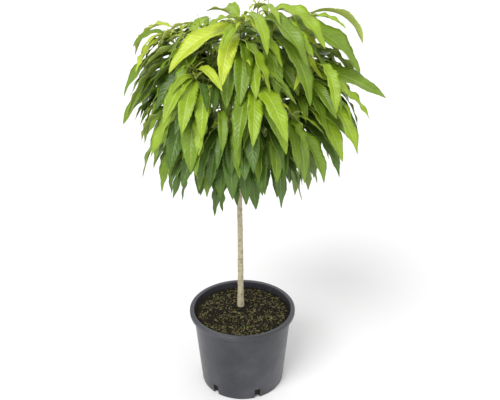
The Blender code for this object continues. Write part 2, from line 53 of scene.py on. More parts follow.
# %% [markdown]
# ## The tree's rule
#
# The leaves aren't placed by hand. A seeded rule grows them: each shoot has a stem and side twigs, and
# leaves leave them in a spiral, arch over and hang. A leaf that would meet another mass or a limb is tried
# again elsewhere. The part's own source has this rule, and it is written again here, with the same sizes
# and the same random draws, so each long leaf grows where its plain solid is.

# %% Gaps between the solids
GAP = 0.0003
CLEARANCE = 0.0004
UP = Vector((0, 0, 1))
print("gap between solids that don't touch:", GAP)

# %% Sizes of the pot and its soil
RIM_RADIUS = 0.130
POT_HEIGHT = 0.203
SHOULDER_RADIUS = 0.1203
FOOT_RADIUS = 0.1028
WALL = 0.0020
FLOOR = 0.0030
LIP_DROP = 0.010
LIP_ROUND = 0.0020
HEEL = 0.006
SLOTS = 6
SLOT_WIDTH = 0.0145
SLOT_TOP = 0.027
SLOT_DEPTH = 0.012
FIRST_SLOT = math.radians(-69)

SOIL_EDGE = 0.189
SOIL_TOP = 0.1955
SOIL_FLAT_RADIUS = 0.040
print("pot:", 2 * RIM_RADIUS, "m across and", POT_HEIGHT, "m high")

# %% Sizes of the trunk
TRUNK_X = -0.0045
TRUNK_Y = 0.018
TRUNK_TOP = 0.612
TRUNK_SWAY = 0.0015
TRUNK_RADII = (
    (0.000, 0.0092), (0.040, 0.0084), (0.100, 0.0073), (0.200, 0.0067), (0.420, 0.0064),
    (0.660, 0.0061), (0.860, 0.0063), (0.925, 0.0108), (0.970, 0.0112), (1.000, 0.0108),
)
print("trunk radius at its foot:", TRUNK_RADII[0][1], "and at its graft:", TRUNK_RADII[-1][1])

# %% The rings that the shoots leave from
# Rise and fall are in degrees, start is a height, and bare, leafy, arch and gather are shares.
Ring = namedtuple("Ring", "start bare leafy thick arch rise fall bend length gather skirt_out skirt_drop")
RINGS = {
    "low": Ring(0.5850, 0.0, 0.46, 0.0026, 0.55, 5, -86, 2.6, 0.145, 0.70, 0.080, 0.140),
    "middle": Ring(0.5960, 0.36, 0.03, 0.0030, 0.55, 18, -72, 2.0, 0.172, 0.60, 0.130, 0.130),
    "top": Ring(0.6070, 0.30, 0.03, 0.0030, 0.75, 26, -66, 1.7, 0.172, 0.30, 0.140, 0.100),
    "centre": Ring(TRUNK_TOP, 0.36, 0.25, 0.0030, 0.90, 34, -44, 1.3, 0.135, 0.05, 0.060, 0.010),
}
ON_TOP = {"crown_middle": 0.0, "crown_leader": 0.0072, "crown_left": 0.0072, "crown_back": 0.0072}
COLLAR = 0.004
LEAD_UP = 0.25
LEAD_OUT = 0.38
ARCH_FROM_TIP = 0.35
TIP_RADIUS = 0.0013
BOUGH_POINTS = 4
LIMB_SIDES = 8
STEM_POINTS = 5
SHOOT_STEPS = 24
SHORTEST_SHOOT = 0.24
print("rings:", ", ".join(RINGS))

# %% The shoots
Shoot = namedtuple("Shoot", "name ring bearing reach height leaves")
SHOOTS = (
    Shoot("front", "low", 262, 0.150, 0.725, 18),
    Shoot("front_right", "low", 315, 0.150, 0.725, 18),
    Shoot("right", "low", 14, 0.155, 0.720, 17),
    Shoot("back", "low", 84, 0.150, 0.720, 16),
    Shoot("back_left", "low", 146, 0.150, 0.720, 16),
    Shoot("left", "low", 206, 0.155, 0.725, 17),
    Shoot("upper_front_left", "middle", 236, 0.150, 0.805, 26),
    Shoot("upper_front", "middle", 285, 0.125, 0.815, 28),
    Shoot("upper_right", "middle", 342, 0.165, 0.805, 22),
    Shoot("upper_back_right", "middle", 42, 0.160, 0.800, 22),
    Shoot("upper_back", "middle", 108, 0.160, 0.800, 22),
    Shoot("upper_left", "middle", 178, 0.145, 0.862, 24),
    Shoot("crown_leader", "top", 335, 0.066, 0.912, 28),
    Shoot("crown_right", "top", 8, 0.138, 0.876, 22),
    Shoot("crown_front", "top", 281, 0.060, 0.900, 28),
    Shoot("crown_left", "top", 214, 0.085, 0.866, 24),
    Shoot("crown_back_left", "top", 144, 0.085, 0.866, 22),
    Shoot("crown_back", "top", 72, 0.085, 0.870, 22),
    Shoot("crown_middle", "centre", 100, 0.014, 0.884, 22),
)
print("shoots:", len(SHOOTS))

# %% The leaves that give the crown its outline
Leading = namedtuple("Leading", "shoot share heading rise fall bend roll length")
LEADING_LEAVES = (
    Leading("crown_front", 0.98, 203, 12, -54, 1.3, -30, 0.190),
    Leading("crown_front", 0.74, 252, 15, -75, 1.6, 0, 0.165),
    Leading("crown_leader", 0.93, 352, 18, -58, 1.3, 28, 0.240),
    Leading("crown_leader", 0.84, 285, 20, -75, 1.5, 0, 0.175),
    Leading("crown_leader", 0.89, 310, 10, -80, 1.3, 0, 0.215),
    Leading("crown_leader", 0.99, 345, 62, -80, 1.1, 0, 0.085),
    Leading("crown_leader", 0.98, 272, 35, -84, 1.6, 0, 0.095),
    Leading("crown_middle", 0.97, 100, 40, -62, 1.3, 0, 0.130),
    Leading("crown_middle", 0.93, 35, 32, -66, 1.3, 0, 0.135),
    Leading("crown_middle", 0.90, 165, 30, -66, 1.3, 0, 0.140),
    Leading("crown_middle", 0.86, 65, 18, -72, 1.4, 0, 0.145),
    Leading("crown_middle", 0.84, 128, 18, -72, 1.4, 0, 0.145),
    Leading("crown_middle", 0.80, 0, 15, -74, 1.4, 0, 0.140),
    Leading("crown_middle", 0.82, 205, 15, -74, 1.4, 0, 0.140),
    Leading("crown_right", 0.76, 335, 0, -28, 1.0, 22, 0.220),
    Leading("crown_back_left", 0.97, 190, 22, -60, 1.2, 0, 0.140),
    Leading("upper_right", 0.90, 315, -10, -68, 1.2, 0, 0.200),
    Leading("upper_right", 0.96, 338, -5, -55, 1.2, 0, 0.160),
    Leading("upper_left", 0.78, 200, -10, -62, 1.2, -20, 0.195),
    Leading("upper_left", 0.87, 195, 8, -68, 1.2, -15, 0.165),
    Leading("upper_left", 0.95, 168, 30, -75, 1.5, -10, 0.120),
)
print("leading leaves:", len(LEADING_LEAVES))

# %% The shape of a leaf
LEAF_ASPECT = 0.235
LEAF_THICKNESS = 0.012
PETIOLE = 0.07
BLADE_LEAN = 0.9
BLADE_FULLNESS = 0.85
POINT_FROM = 0.7
POINT_FINENESS = 0.45
LEAF_STATIONS = (0.0, 0.24, 0.60)
MIDRIB_STEPS = 24
LEAF_MIDDLE = MIDRIB_STEPS * 3 // 5
print("a leaf is", LEAF_ASPECT, "of its length in width, and", LEAF_THICKNESS, "in thickness")

# %% How far leaves differ
GATHER_SHARES = (0.6, 1.2)
LENGTH_SHARES = (0.86, 1.12)
WIDTH_SHARES = (0.9, 1.08)
BEND_SHARES = (0.75, 1.25)
RISE_SPREAD = 15
FALL_RANGE = (-4, 16)
LEAST_FALL = -20
SWEEP_SPREAD = 25
ROLL_SPREAD = 22
TWIST_SPREAD = 30
YOUNG_FROM = 0.75
YOUNG_SHORTER = 0.50
YOUNG_NARROWER = 0.2
YOUNG_RISE = 35
YOUNG_FALL = 30
print("spread of lengths:", LENGTH_SHARES)

# %% Places that are tried
SEED = 11
GOLDEN_ANGLE = math.radians(137.5)
RETRY_TURN = math.radians(47)
LEAF_TRIES = 32
CHOICES = 4
FIRST_LEAF = 0.6
LAST_LEAF = 0.99
print("seed:", SEED, "turns tried for a leaf:", LEAF_TRIES, "best of:", CHOICES)

# %% Own spaces and side twigs
OWN_SPACE_SLACK = 0.042
SPACE_STEP = 4
SPINE_POINTS = 8
SHOULDER_OUT = 0.7
SHOULDER_DROP = 0.15

TWIGS = 2
TWIG_RADII = (0.00168, 0.0014, 0.00098)
TWIG_SIDES = 3
FIRST_TWIG = 0.30
TWIG_SPACING = 0.28
TWIG_TURN = (35, 60)
TWIG_SHARES = (0.40, 0.55)
TWIG_LIFT = 0.35
TWIG_LEAFY = 0.10
STEM_SHARE = 0.62

Leaf = namedtuple("Leaf", "root heading rise fall bend sweep roll twist length width")
Branch = namedtuple("Branch", "line leafy share")
Mass = namedtuple("Mass", "shoot rng leaves branches tubes")
print("side twigs of a mass:", TWIGS, "with radii", TWIG_RADII)

# %% [markdown]
# ## Lines and plain shapes
#
# A stem, a bough or a twig is a line with a radius at each point, and a plain leaf is a blade through a few
# stations of its midrib. Curve objects with a bevel would draw the same stems, but the rule has to test
# thousands of shapes for room. Lists of corners and faces go straight into Blender's BVH tree, which is
# quick to test.

# %% The line of the trunk
def trunk_centre(height):
    """The middle of the trunk at a height. It sways a little, and is upright at its foot."""
    share = (height - SOIL_TOP) / (TRUNK_TOP - SOIL_TOP)
    sway = TRUNK_SWAY * math.sin(share * math.tau) * share
    return Vector((TRUNK_X + sway, TRUNK_Y - sway, height))


def trunk_radius(height):
    """The trunk's radius at a height, with its root flare and its graft."""
    share = (height - SOIL_TOP) / (TRUNK_TOP - SOIL_TOP)
    for (low, low_radius), (high, high_radius) in zip(TRUNK_RADII, TRUNK_RADII[1:]):
        if share <= high:
            return low_radius + (high_radius - low_radius) * (share - low) / (high - low)
    return TRUNK_RADII[-1][1]


def trunk_line():
    """Points up the middle of the trunk, and its radius at each."""
    foot = SOIL_TOP + GAP
    heights = [foot + share * (TRUNK_TOP - foot) for share, radius in TRUNK_RADII]
    return [trunk_centre(height) for height in heights], [radius for share, radius in TRUNK_RADII]


print("trunk height above the soil:", round(TRUNK_TOP - SOIL_TOP, 4))

# %% The lines of the shoots
def outward(bearing):
    return Vector((math.cos(bearing), math.sin(bearing), 0))


def shoot_line(shoot, count):
    """Points from the trunk to the shoot's tip: straight off the trunk for a collar's length, then curved."""
    ring = RINGS[shoot.ring]
    out = outward(math.radians(shoot.bearing))
    tip = trunk_centre(TRUNK_TOP) + out * shoot.reach
    tip.z = shoot.height
    if shoot.name in ON_TOP:
        start = trunk_centre(TRUNK_TOP) + out * ON_TOP[shoot.name] + UP * GAP
        collar = start + UP * COLLAR
        first = collar + UP * LEAD_UP * (tip - collar).length
    else:
        start = trunk_centre(ring.start) + out * (trunk_radius(ring.start) + GAP)
        collar = start + out * COLLAR
        first = collar + out * LEAD_OUT * shoot.reach
    second = tip - out.lerp(UP, ring.arch).normalized() * ARCH_FROM_TIP * (tip - collar).length
    line = [start]
    for step in range(count):
        u = step / (count - 1)
        curve = collar * (1 - u) ** 3 + first * 3 * u * (1 - u) ** 2
        line.append(curve + second * 3 * u * u * (1 - u) + tip * u**3)
    return line


def point_along(line, share):
    """The point and the direction at a share of a line's length."""
    lengths = [(b - a).length for a, b in zip(line, line[1:])]
    left = share * sum(lengths)
    for a, b, length in zip(line, line[1:], lengths):
        if left <= length or b is line[-1]:
            return a.lerp(b, left / length), (b - a).normalized()
        left -= length


def shoot_part(shoot, low, high, count):
    """Points and radii of a shoot between two shares of its length, with one point at its collar's end."""
    thick = RINGS[shoot.ring].thick
    line = shoot_line(shoot, SHOOT_STEPS)
    shares = [low + (high - low) * step / (count - 1) for step in range(count)]
    if low == 0:
        length = sum((b - a).length for a, b in zip(line, line[1:]))
        shares.insert(1, COLLAR / length)
    points = [point_along(line, share)[0] for share in shares]
    return points, [thick + (TIP_RADIUS - thick) * share for share in shares]


def bough_line(shoot):
    return shoot_part(shoot, 0, RINGS[shoot.ring].bare, BOUGH_POINTS)


print("points on the first shoot's line:", len(shoot_line(SHOOTS[0], SHOOT_STEPS)))

# %% Closed bodies through rings of points
def loft(rings):
    """Corners and faces of a closed body through rings of equal size, where a ring of one point is a tip."""
    corners = [point for ring in rings for point in ring]
    size = len(rings[0])
    faces = [tuple(reversed(range(size)))]
    low = 0
    for near, far in zip(rings, rings[1:]):
        high = low + size
        middle = sum(near + far, Vector()) / len(near + far)
        for i in range(size):
            j = (i + 1) % size
            if len(far) == 1:
                faces.append((low + i, low + j, high))
            elif bulges(near[i], near[j], far[j], far[i], middle):
                faces += [(low + i, low + j, high + j), (low + i, high + j, high + i)]
            else:
                faces += [(low + i, low + j, high + i), (low + j, high + j, high + i)]
        low = high
    if len(rings[-1]) > 1:
        faces.append(tuple(range(low, low + size)))
    return corners, faces


def bulges(a, b, c, d, middle):
    """True if a twisted face a, b, c, d stands out, and not in, when it is split from a to c.

    A thin blade's upper and lower faces are both split the way that stands out, so they never cross.
    """
    out = (c - a).cross(d - b)
    if out.dot(a + b + c + d - middle * 4) < 0:
        out.negate()
    return out.dot(a + c - b - d) > 0


square = [Vector((1, 1, 0)), Vector((-1, 1, 0)), Vector((-1, -1, 0)), Vector((1, -1, 0))]
box_faces = loft([square, [corner + UP for corner in square]])[1]
print("faces of a box made from two rings:", len(box_faces))

# %% Tubes, for stems and twigs
def tube_shape(points, radii, sides):
    """A tube along points, whose rings turn as little as they can."""
    along = (points[1] - points[0]).normalized()
    side = along.orthogonal().normalized()
    rings = []
    for index, (point, radius) in enumerate(zip(points, radii)):
        following = points[min(index + 1, len(points) - 1)]
        before = points[max(index - 1, 0)] if index else point
        along = (following - before).normalized()
        side = (side - along * side.dot(along)).normalized()
        other = along.cross(side)
        turns = [math.tau * k / sides for k in range(sides)]
        rings.append([point + (side * math.cos(a) + other * math.sin(a)) * radius for a in turns])
    return loft(rings)


def append_shape(all_corners, all_faces, shape):
    """Adds a shape to longer lists of corners and faces."""
    corners, faces = shape
    first = len(all_corners)
    all_corners += corners
    all_faces += [tuple(first + corner for corner in face) for face in faces]


print("sides of a limb:", LIMB_SIDES, "sides of a twig:", TWIG_SIDES)

# %% A plain leaf
def leaf_frame(leaf, t):
    """Directions at a share t of the leaf's length: along its midrib, to its side and out of its top face."""
    pitch = leaf.fall + (leaf.rise - leaf.fall) * (1 - t) ** leaf.bend
    yaw = leaf.heading + leaf.sweep * t
    along = Vector((math.cos(pitch) * math.cos(yaw), math.cos(pitch) * math.sin(yaw), math.sin(pitch)))
    side = Quaternion(along, leaf.roll + leaf.twist * t) @ Vector((-math.sin(yaw), math.cos(yaw), 0))
    return along, side, along.cross(side)


def midrib(leaf):
    """Points from the leaf's root to its tip, a step apart."""
    step = leaf.length / MIDRIB_STEPS
    points = [leaf.root.copy()]
    for index in range(MIDRIB_STEPS):
        along = leaf_frame(leaf, (index + 0.5) / MIDRIB_STEPS)[0]
        points.append(points[-1] + along * step)
    return points


def blade_width(t):
    """Share of the full width at a share t of the leaf's length."""
    v = max(0.0, (t - PETIOLE) / (1 - PETIOLE))
    point = 1 - POINT_FINENESS * max(0.0, (v - POINT_FROM) / (1 - POINT_FROM)) ** 2
    return math.sin(math.pi * v**BLADE_LEAN) ** BLADE_FULLNESS * point


def leaf_shape(leaf):
    """A blade with a flat upper face and a low keel under its midrib, from its stalk's root to its point."""
    line = midrib(leaf)
    thick = leaf.length * LEAF_THICKNESS
    rings = []
    for t in LEAF_STATIONS:
        centre = line[round(t * MIDRIB_STEPS)]
        along, side, up = leaf_frame(leaf, t)
        half = max(thick / 2, leaf.width / 2 * blade_width(t))
        rings.append([centre + side * half, centre - side * half, centre - up * thick])
    rings.append([line[-1]])
    return loft(rings)


def free_part(shape):
    """A leaf or twig without its root, for the test of what it touches in its own mass."""
    corners, faces = shape
    root = len(faces[0])
    return corners, [face for face in faces if min(face) >= root]


widest = max(blade_width(step / MIDRIB_STEPS) for step in range(MIDRIB_STEPS + 1))
print("a blade's widest share of its width:", round(widest, 3))

# %% [markdown]
# ## Room for each leaf
#
# On the tree, leaves slide past one another. In the solids no leaf may touch another mass, so each mass
# keeps to the space round its own spine, and reaches only a little past the middle between two spines. A
# leaf is tried at many turns round its twig, and the freest of the first few places that fit is taken.
# Leaves could be scattered by a particle system, but that can't keep them apart.

# %% Each mass's own space
def distance_to_line(point, line):
    """How far a point is from the nearest place on a line."""
    best = math.inf
    for a, b in zip(line, line[1:]):
        span = b - a
        share = max(0.0, min(1.0, (point - a).dot(span) / span.length_squared))
        best = min(best, (point - a - span * share).length)
    return best


def spine(shoot):
    """The line that a mass is gathered round: its shoot, and the way its leaves hang from the tip."""
    ring = RINGS[shoot.ring]
    line = shoot_line(shoot, SPINE_POINTS)
    away = outward(math.radians(shoot.bearing))
    tip = line[-1]
    shoulder = tip + away * ring.skirt_out * SHOULDER_OUT - UP * ring.skirt_drop * SHOULDER_DROP
    hem = tip + away * ring.skirt_out - UP * ring.skirt_drop
    return line + [shoulder, hem]


SPINES = {shoot.name: spine(shoot) for shoot in SHOOTS}


def in_own_space(points, name):
    """True if no point is nearer to another mass's spine than to its own by more than the slack."""
    for point in points:
        own = distance_to_line(point, SPINES[name]) - OWN_SPACE_SLACK
        if any(distance_to_line(point, SPINES[other]) < own for other in SPINES if other != name):
            return False
    return True


print("spines:", len(SPINES))

# %% One leaf of the rule
def turn_towards(angle, goal, share):
    """An angle turned by a share of the way to another."""
    return angle + share * math.remainder(goal - angle, math.tau)


def grow_leaf(rng, shoot, root, along, spiral, age):
    """One leaf at a place on a twig. age runs from 0 at the twig's foot to 1 at its growing tip."""
    ring = RINGS[shoot.ring]
    side = along.orthogonal().normalized()
    radial = Quaternion(along, spiral) @ side
    away = root - trunk_centre(root.z)
    out = math.atan2(away.y, away.x) if away.xy.length > TRUNK_RADII[0][1] else math.radians(shoot.bearing)
    heading = turn_towards(math.atan2(radial.y, radial.x), out, ring.gather * rng.uniform(*GATHER_SHARES))
    young = max(0.0, (age - YOUNG_FROM) / (1 - YOUNG_FROM))
    length = ring.length * rng.uniform(*LENGTH_SHARES) * (1 - YOUNG_SHORTER * young)
    rise = ring.rise + rng.uniform(-RISE_SPREAD, RISE_SPREAD) + YOUNG_RISE * young
    fall = min(LEAST_FALL, ring.fall + rng.uniform(*FALL_RANGE) + YOUNG_FALL * young)
    return Leaf(
        root=root,
        heading=heading,
        rise=math.radians(rise),
        fall=math.radians(fall),
        bend=ring.bend * rng.uniform(*BEND_SHARES),
        sweep=math.radians(rng.uniform(-SWEEP_SPREAD, SWEEP_SPREAD)),
        roll=math.radians(rng.uniform(-ROLL_SPREAD, ROLL_SPREAD)),
        twist=math.radians(rng.uniform(-TWIST_SPREAD, TWIST_SPREAD)),
        length=length,
        width=length * LEAF_ASPECT * rng.uniform(*WIDTH_SHARES) * (1 - YOUNG_NARROWER * young),
    )


print("full lengths of a leaf by ring:", {name: ring.length for name, ring in RINGS.items()})

# %% The crown that a leaf is tried against
class Crown:
    """What is placed already, mass by mass, so that a new twig or leaf can be tried against it."""

    def __init__(self):
        self.shapes = {}
        self.trees = {}
        self.middles = []

    def add(self, owner, shape):
        corners, faces = self.shapes.setdefault(owner, ([], []))
        append_shape(corners, faces, shape)
        self.trees[owner] = BVHTree.FromPolygons(corners, faces, epsilon=CLEARANCE)

    def touches(self, owner, shape):
        """True if the shape meets another mass or a limb, or meets its own mass past its root."""
        whole = BVHTree.FromPolygons(*shape, epsilon=CLEARANCE)
        free = BVHTree.FromPolygons(*free_part(shape), epsilon=CLEARANCE)
        return any(tree.overlap(free if name == owner else whole) for name, tree in self.trees.items())

    def room_round(self, point):
        """How far the nearest leaf's middle is."""
        return min(((point - middle).length for middle in self.middles), default=math.inf)


print("clearance between a leaf and what it may not touch:", CLEARANCE)

# %% Place a leaf
def place_leading_leaf(entry, mass, crown):
    """One of the leaves that give the crown its outline, unless something is in its way."""
    root, along = point_along(shoot_line(mass.shoot, SHOOT_STEPS), entry.share)
    turns = [math.radians(angle) for angle in (entry.heading, entry.rise, entry.fall)]
    width = entry.length * LEAF_ASPECT
    leaf = Leaf(root, *turns, entry.bend, 0, math.radians(entry.roll), 0, entry.length, width)
    shape = leaf_shape(leaf)
    if not crown.touches(entry.shoot, shape):
        keep_leaf(mass, crown, leaf, shape, midrib(leaf))


def keep_leaf(mass, crown, leaf, shape, line):
    mass.leaves.append(leaf)
    crown.add(mass.shoot.name, shape)
    crown.middles.append(line[LEAF_MIDDLE])


def place_leaf(mass, crown, root, along, index, age, size=1.0):
    """A leaf in the freest of a few places, or none where nothing is free."""
    choices = []
    for attempt in range(LEAF_TRIES):
        spiral = index * GOLDEN_ANGLE + attempt * RETRY_TURN
        leaf = grow_leaf(mass.rng, mass.shoot, root, along, spiral, age)
        leaf = leaf._replace(length=leaf.length * size, width=leaf.width * size)
        line = midrib(leaf)
        if not in_own_space(line[LEAF_MIDDLE // 2 :: SPACE_STEP], mass.shoot.name):
            continue
        shape = leaf_shape(leaf)
        if crown.touches(mass.shoot.name, shape):
            continue
        choices.append((crown.room_round(line[LEAF_MIDDLE]), attempt, leaf, shape, line))
        if len(choices) == CHOICES:
            break
    if choices:
        best = max(choices, key=lambda choice: choice[:2])
        keep_leaf(mass, crown, *best[2:])


print("degrees between two tries of a leaf:", round(math.degrees(RETRY_TURN)))

# %% Start a mass, and fill it
def twig_line(points, share, turn, reach, lift):
    """Points of a side twig that leaves a stem at a share of its length, and lifts as it goes."""
    start, along = point_along(points, share)
    away = Quaternion(UP, turn) @ along
    length = (points[-1] - points[0]).length * reach
    lifted = (away + UP * lift).normalized()
    return [start, start + away * length / 2, start + lifted * length]


def start_mass(shoot, crown):
    """A mass with its stem and its side twigs, and no leaf yet."""
    rng = random.Random(f"{SEED} {shoot.name}")
    ring = RINGS[shoot.ring]
    low = ring.bare + GAP / SHORTEST_SHOOT if ring.bare else 0
    points, radii = shoot_part(shoot, low, 1, STEM_POINTS)
    stem = tube_shape(points, radii, TWIG_SIDES)
    crown.add(shoot.name, stem)
    mass = Mass(shoot, rng, [], [Branch(points, ring.leafy, STEM_SHARE)], [(points, radii)])
    for index in range(TWIGS):
        turn = math.radians(rng.uniform(*TWIG_TURN)) * (-1) ** index
        share = FIRST_TWIG + TWIG_SPACING * index
        line = twig_line(points, share, turn, rng.uniform(*TWIG_SHARES), TWIG_LIFT)
        twig = tube_shape(line, TWIG_RADII, TWIG_SIDES)
        if not crown.touches(shoot.name, twig):
            mass.tubes.append((line, TWIG_RADII))
            crown.add(shoot.name, twig)
            mass.branches.append(Branch(line, TWIG_LEAFY, (1 - STEM_SHARE) / TWIGS))
    return mass


def fill_mass(mass, crown):
    """The leaves of a mass, along its stem and then along its twigs."""
    for branch in mass.branches:
        count = round(mass.shoot.leaves * branch.share)
        for index in range(count):
            age = (index + FIRST_LEAF) / count
            root, along = point_along(branch.line, branch.leafy + (LAST_LEAF - branch.leafy) * age)
            place_leaf(mass, crown, root, along, index, age)


print("share of a mass's leaves that are on its stem:", STEM_SHARE)

# %% [markdown]
# ## Growing the crown
#
# First come the leaves that the solids have, in the source's order. Then the rule goes on: finer twigs
# leave the stems and smaller leaves fill the gaps between the long ones, all within the same reach. Last,
# each growing tip gets a tuft of young leaves that stand up.

# %% Grow the leaves of the solids
crown = Crown()
crown.add("limbs", tube_shape(*trunk_line(), LIMB_SIDES))
for shoot in SHOOTS:
    if RINGS[shoot.ring].bare:
        crown.add("limbs", tube_shape(*bough_line(shoot), LIMB_SIDES))
masses = {shoot.name: start_mass(shoot, crown) for shoot in reversed(SHOOTS)}
for entry in LEADING_LEAVES:
    place_leading_leaf(entry, masses[entry.shoot], crown)
for mass in masses.values():
    fill_mass(mass, crown)
print("leaves of the solids:", sum(len(mass.leaves) for mass in masses.values()))

# %% Sizes of the finer growth
FINE_TWIGS = 4
FINE_RADII = (0.0010, 0.0008, 0.0005)
FIRST_FINE_TWIG = 0.25
FINE_TWIGS_SPAN = 0.70
FINE_TURNS = (30, 75)
FINE_REACHES = (0.18, 0.35)
FINE_LIFTS = (0.1, 0.7)
FINE_LEAVES = 20
FINE_SIZES = (0.62, 0.88)
FINE_AGES = (0.05, 0.95)
TUFTED_BRANCHES = 3
TUFT_LEAVES = 4
TUFT_LENGTHS = (0.052, 0.020)
TUFT_LENGTH_SHARES = (0.8, 1.1)
TUFT_RISES = (35, 80)
TUFT_FALLS = (-35, 45)
TUFT_SWEEP = 30
TUFT_ROLL = 20
TUFT_TWIST = 30
TUFT_SLIMMER = 0.85
print("finer growth of each mass:", FINE_TWIGS, "twigs and", FINE_LEAVES, "smaller leaves tried")

# %% Finer twigs, and smaller leaves between the long ones
def between(ends, share):
    """The value at a share of the way from the first end to the second."""
    return ends[0] + (ends[1] - ends[0]) * share


def grow_fine_twigs(mass, rng):
    """Thin side twigs along the stem, between the ones that the solids have."""
    points = mass.branches[0].line
    for index in range(FINE_TWIGS):
        share = FIRST_FINE_TWIG + FINE_TWIGS_SPAN * (index + rng.random()) / FINE_TWIGS
        turn = math.radians(rng.uniform(*FINE_TURNS)) * (-1) ** index
        line = twig_line(points, share, turn, rng.uniform(*FINE_REACHES), rng.uniform(*FINE_LIFTS))
        mass.tubes.append((line, FINE_RADII))
        mass.branches.append(Branch(line, TWIG_LEAFY, 0))


def fill_gaps(mass, crown):
    """Smaller leaves, each in the freest of the places where it touches nothing."""
    rng = mass.rng
    for index in range(FINE_LEAVES):
        branch = mass.branches[index % len(mass.branches)]
        age = rng.uniform(*FINE_AGES)
        root, along = point_along(branch.line, branch.leafy + (LAST_LEAF - branch.leafy) * age)
        place_leaf(mass, crown, root, along, index, age * YOUNG_FROM, rng.uniform(*FINE_SIZES))


print("sizes of the smaller leaves:", FINE_SIZES)

# %% Tufts of young leaves
def add_tuft(branch, rng):
    """Young leaves round a growing tip, which stand up more the nearer they are to its middle."""
    start = rng.uniform(0, math.tau)
    leaves = []
    for index in range(TUFT_LEAVES):
        inner = index / (TUFT_LEAVES - 1)
        length = between(TUFT_LENGTHS, inner) * rng.uniform(*TUFT_LENGTH_SHARES)
        leaves.append(
            Leaf(
                root=branch.line[-1],
                heading=start + index * GOLDEN_ANGLE,
                rise=math.radians(between(TUFT_RISES, inner)),
                fall=math.radians(between(TUFT_FALLS, inner)),
                bend=1.0,
                sweep=math.radians(rng.uniform(-TUFT_SWEEP, TUFT_SWEEP)),
                roll=math.radians(rng.uniform(-TUFT_ROLL, TUFT_ROLL)),
                twist=math.radians(rng.uniform(-TUFT_TWIST, TUFT_TWIST)),
                length=length,
                width=length * LEAF_ASPECT * TUFT_SLIMMER,
            )
        )
    return leaves


print("young leaves in a tuft:", TUFT_LEAVES)

# %% Grow the finer twigs and leaves
for mass in masses.values():
    grow_fine_twigs(mass, random.Random(f"{SEED} fine {mass.shoot.name}"))
tufts = []
for mass in masses.values():
    fill_gaps(mass, crown)
    rng = random.Random(f"{SEED} tufts {mass.shoot.name}")
    for branch in mass.branches[:TUFTED_BRANCHES]:
        tufts += add_tuft(branch, rng)
print("leaves:", sum(len(mass.leaves) for mass in masses.values()), "young leaves:", len(tufts))

# %% [markdown]
# ## Materials
#
# Every material is made of nodes, with no image in it. Leaves have their own UV: U runs across the blade,
# from 0 at one edge to 1 at the other, and V from the stalk to the point. The other patterns use the
# object's own coordinates, so each stays where it is on its piece.

# %% A new material, and its nodes
def new_material(name, colour, roughness, specular=0.5):
    """A material with one plain colour, its node tree, and the shader that holds its values."""
    material = bpy.data.materials.new(name)
    material.use_nodes = True
    shader = material.node_tree.nodes["Principled BSDF"]
    shader.inputs["Base Color"].default_value = (*colour, 1)
    shader.inputs["Roughness"].default_value = roughness
    shader.inputs["Specular IOR Level"].default_value = specular
    material.diffuse_color = (*colour, 1)
    return material, material.node_tree, shader


def add_node(tree, kind, **values):
    """A node with its settings and its unlinked inputs set by name."""
    node = tree.nodes.new(kind)
    for key, value in values.items():
        if key in node.inputs:
            node.inputs[key].default_value = value
        else:
            setattr(node, key, value)
    return node


def do_math(tree, operation, first, second=None):
    """The result of a Math node, whose inputs are numbers or other nodes' outputs."""
    node = tree.nodes.new("ShaderNodeMath")
    node.operation = operation
    for socket, value in zip(node.inputs, (first, second)):
        if value is None:
            continue
        if isinstance(value, (int, float)):
            socket.default_value = value
        else:
            tree.links.new(value, socket)
    return node.outputs[0]


print("materials so far:", len(bpy.data.materials))

# %% Noise, colour ramps and relief
def speckle(tree, scale, detail=4.0, roughness=0.6):
    """Noise in the object's own coordinates."""
    place = tree.nodes.new("ShaderNodeTexCoord")
    cloud = add_node(tree, "ShaderNodeTexNoise", Scale=scale, Detail=detail, Roughness=roughness)
    tree.links.new(place.outputs["Object"], cloud.inputs["Vector"])
    return cloud.outputs["Fac"]


def ramp(tree, factor, stops):
    """Colours at positions along a factor."""
    node = tree.nodes.new("ShaderNodeValToRGB")
    while len(node.color_ramp.elements) < len(stops):
        node.color_ramp.elements.new(0.5)
    for element, (position, colour) in zip(node.color_ramp.elements, stops):
        element.position = position
        element.color = (*colour, 1)
    tree.links.new(factor, node.inputs["Fac"])
    return node.outputs["Color"]


def bump(tree, shader, height, strength, distance):
    """Fine relief in the shading, from a height."""
    node = add_node(tree, "ShaderNodeBump", Strength=strength, Distance=distance)
    tree.links.new(height, node.inputs["Height"])
    tree.links.new(node.outputs["Normal"], shader.inputs["Normal"])


def shaded(colour, amount):
    return tuple(channel * amount for channel in colour)


print("a colour at half its light:", shaded((0.2, 0.4, 0.1), 0.5))

# %% [markdown]
# ## Leaf finishes
#
# A peach leaf is green and a little glossy on top, paler and duller below, with a pale midrib. Its side
# veins are a wave of V less the distance from the midrib, so they sweep forward as the real ones do. A
# picture of a leaf could show them too, but a wave stays sharp from any distance. There are four tones,
# from the lime of young leaves to the dark green of old ones. The tufts' young leaves are lime, and the
# others take a tone by height and reach, so the tones are also painted light on high, outer leaves and
# painted shade on low, inner ones.

# %% Leaf materials
VEINS = 17
VEIN_SWEEP = 0.22
VEIN_SHARPNESS = 7.0
VEIN_SHOWS = 0.30
VEIN_RELIEF = 0.32
VEIN_DEPTH = 0.0012
MOTTLE_SCALE = 38.0
MOTTLE = ((0.30, 0.78), (0.52, 1.0), (0.75, 1.16))
TOP_ROUGHNESS = 0.40
UNDER_ROUGHNESS = 0.62
RIB_ROUGHNESS = 0.50
TOP_VEIN_LIGHT = 1.22
UNDER_VEIN_LIGHT = 1.12


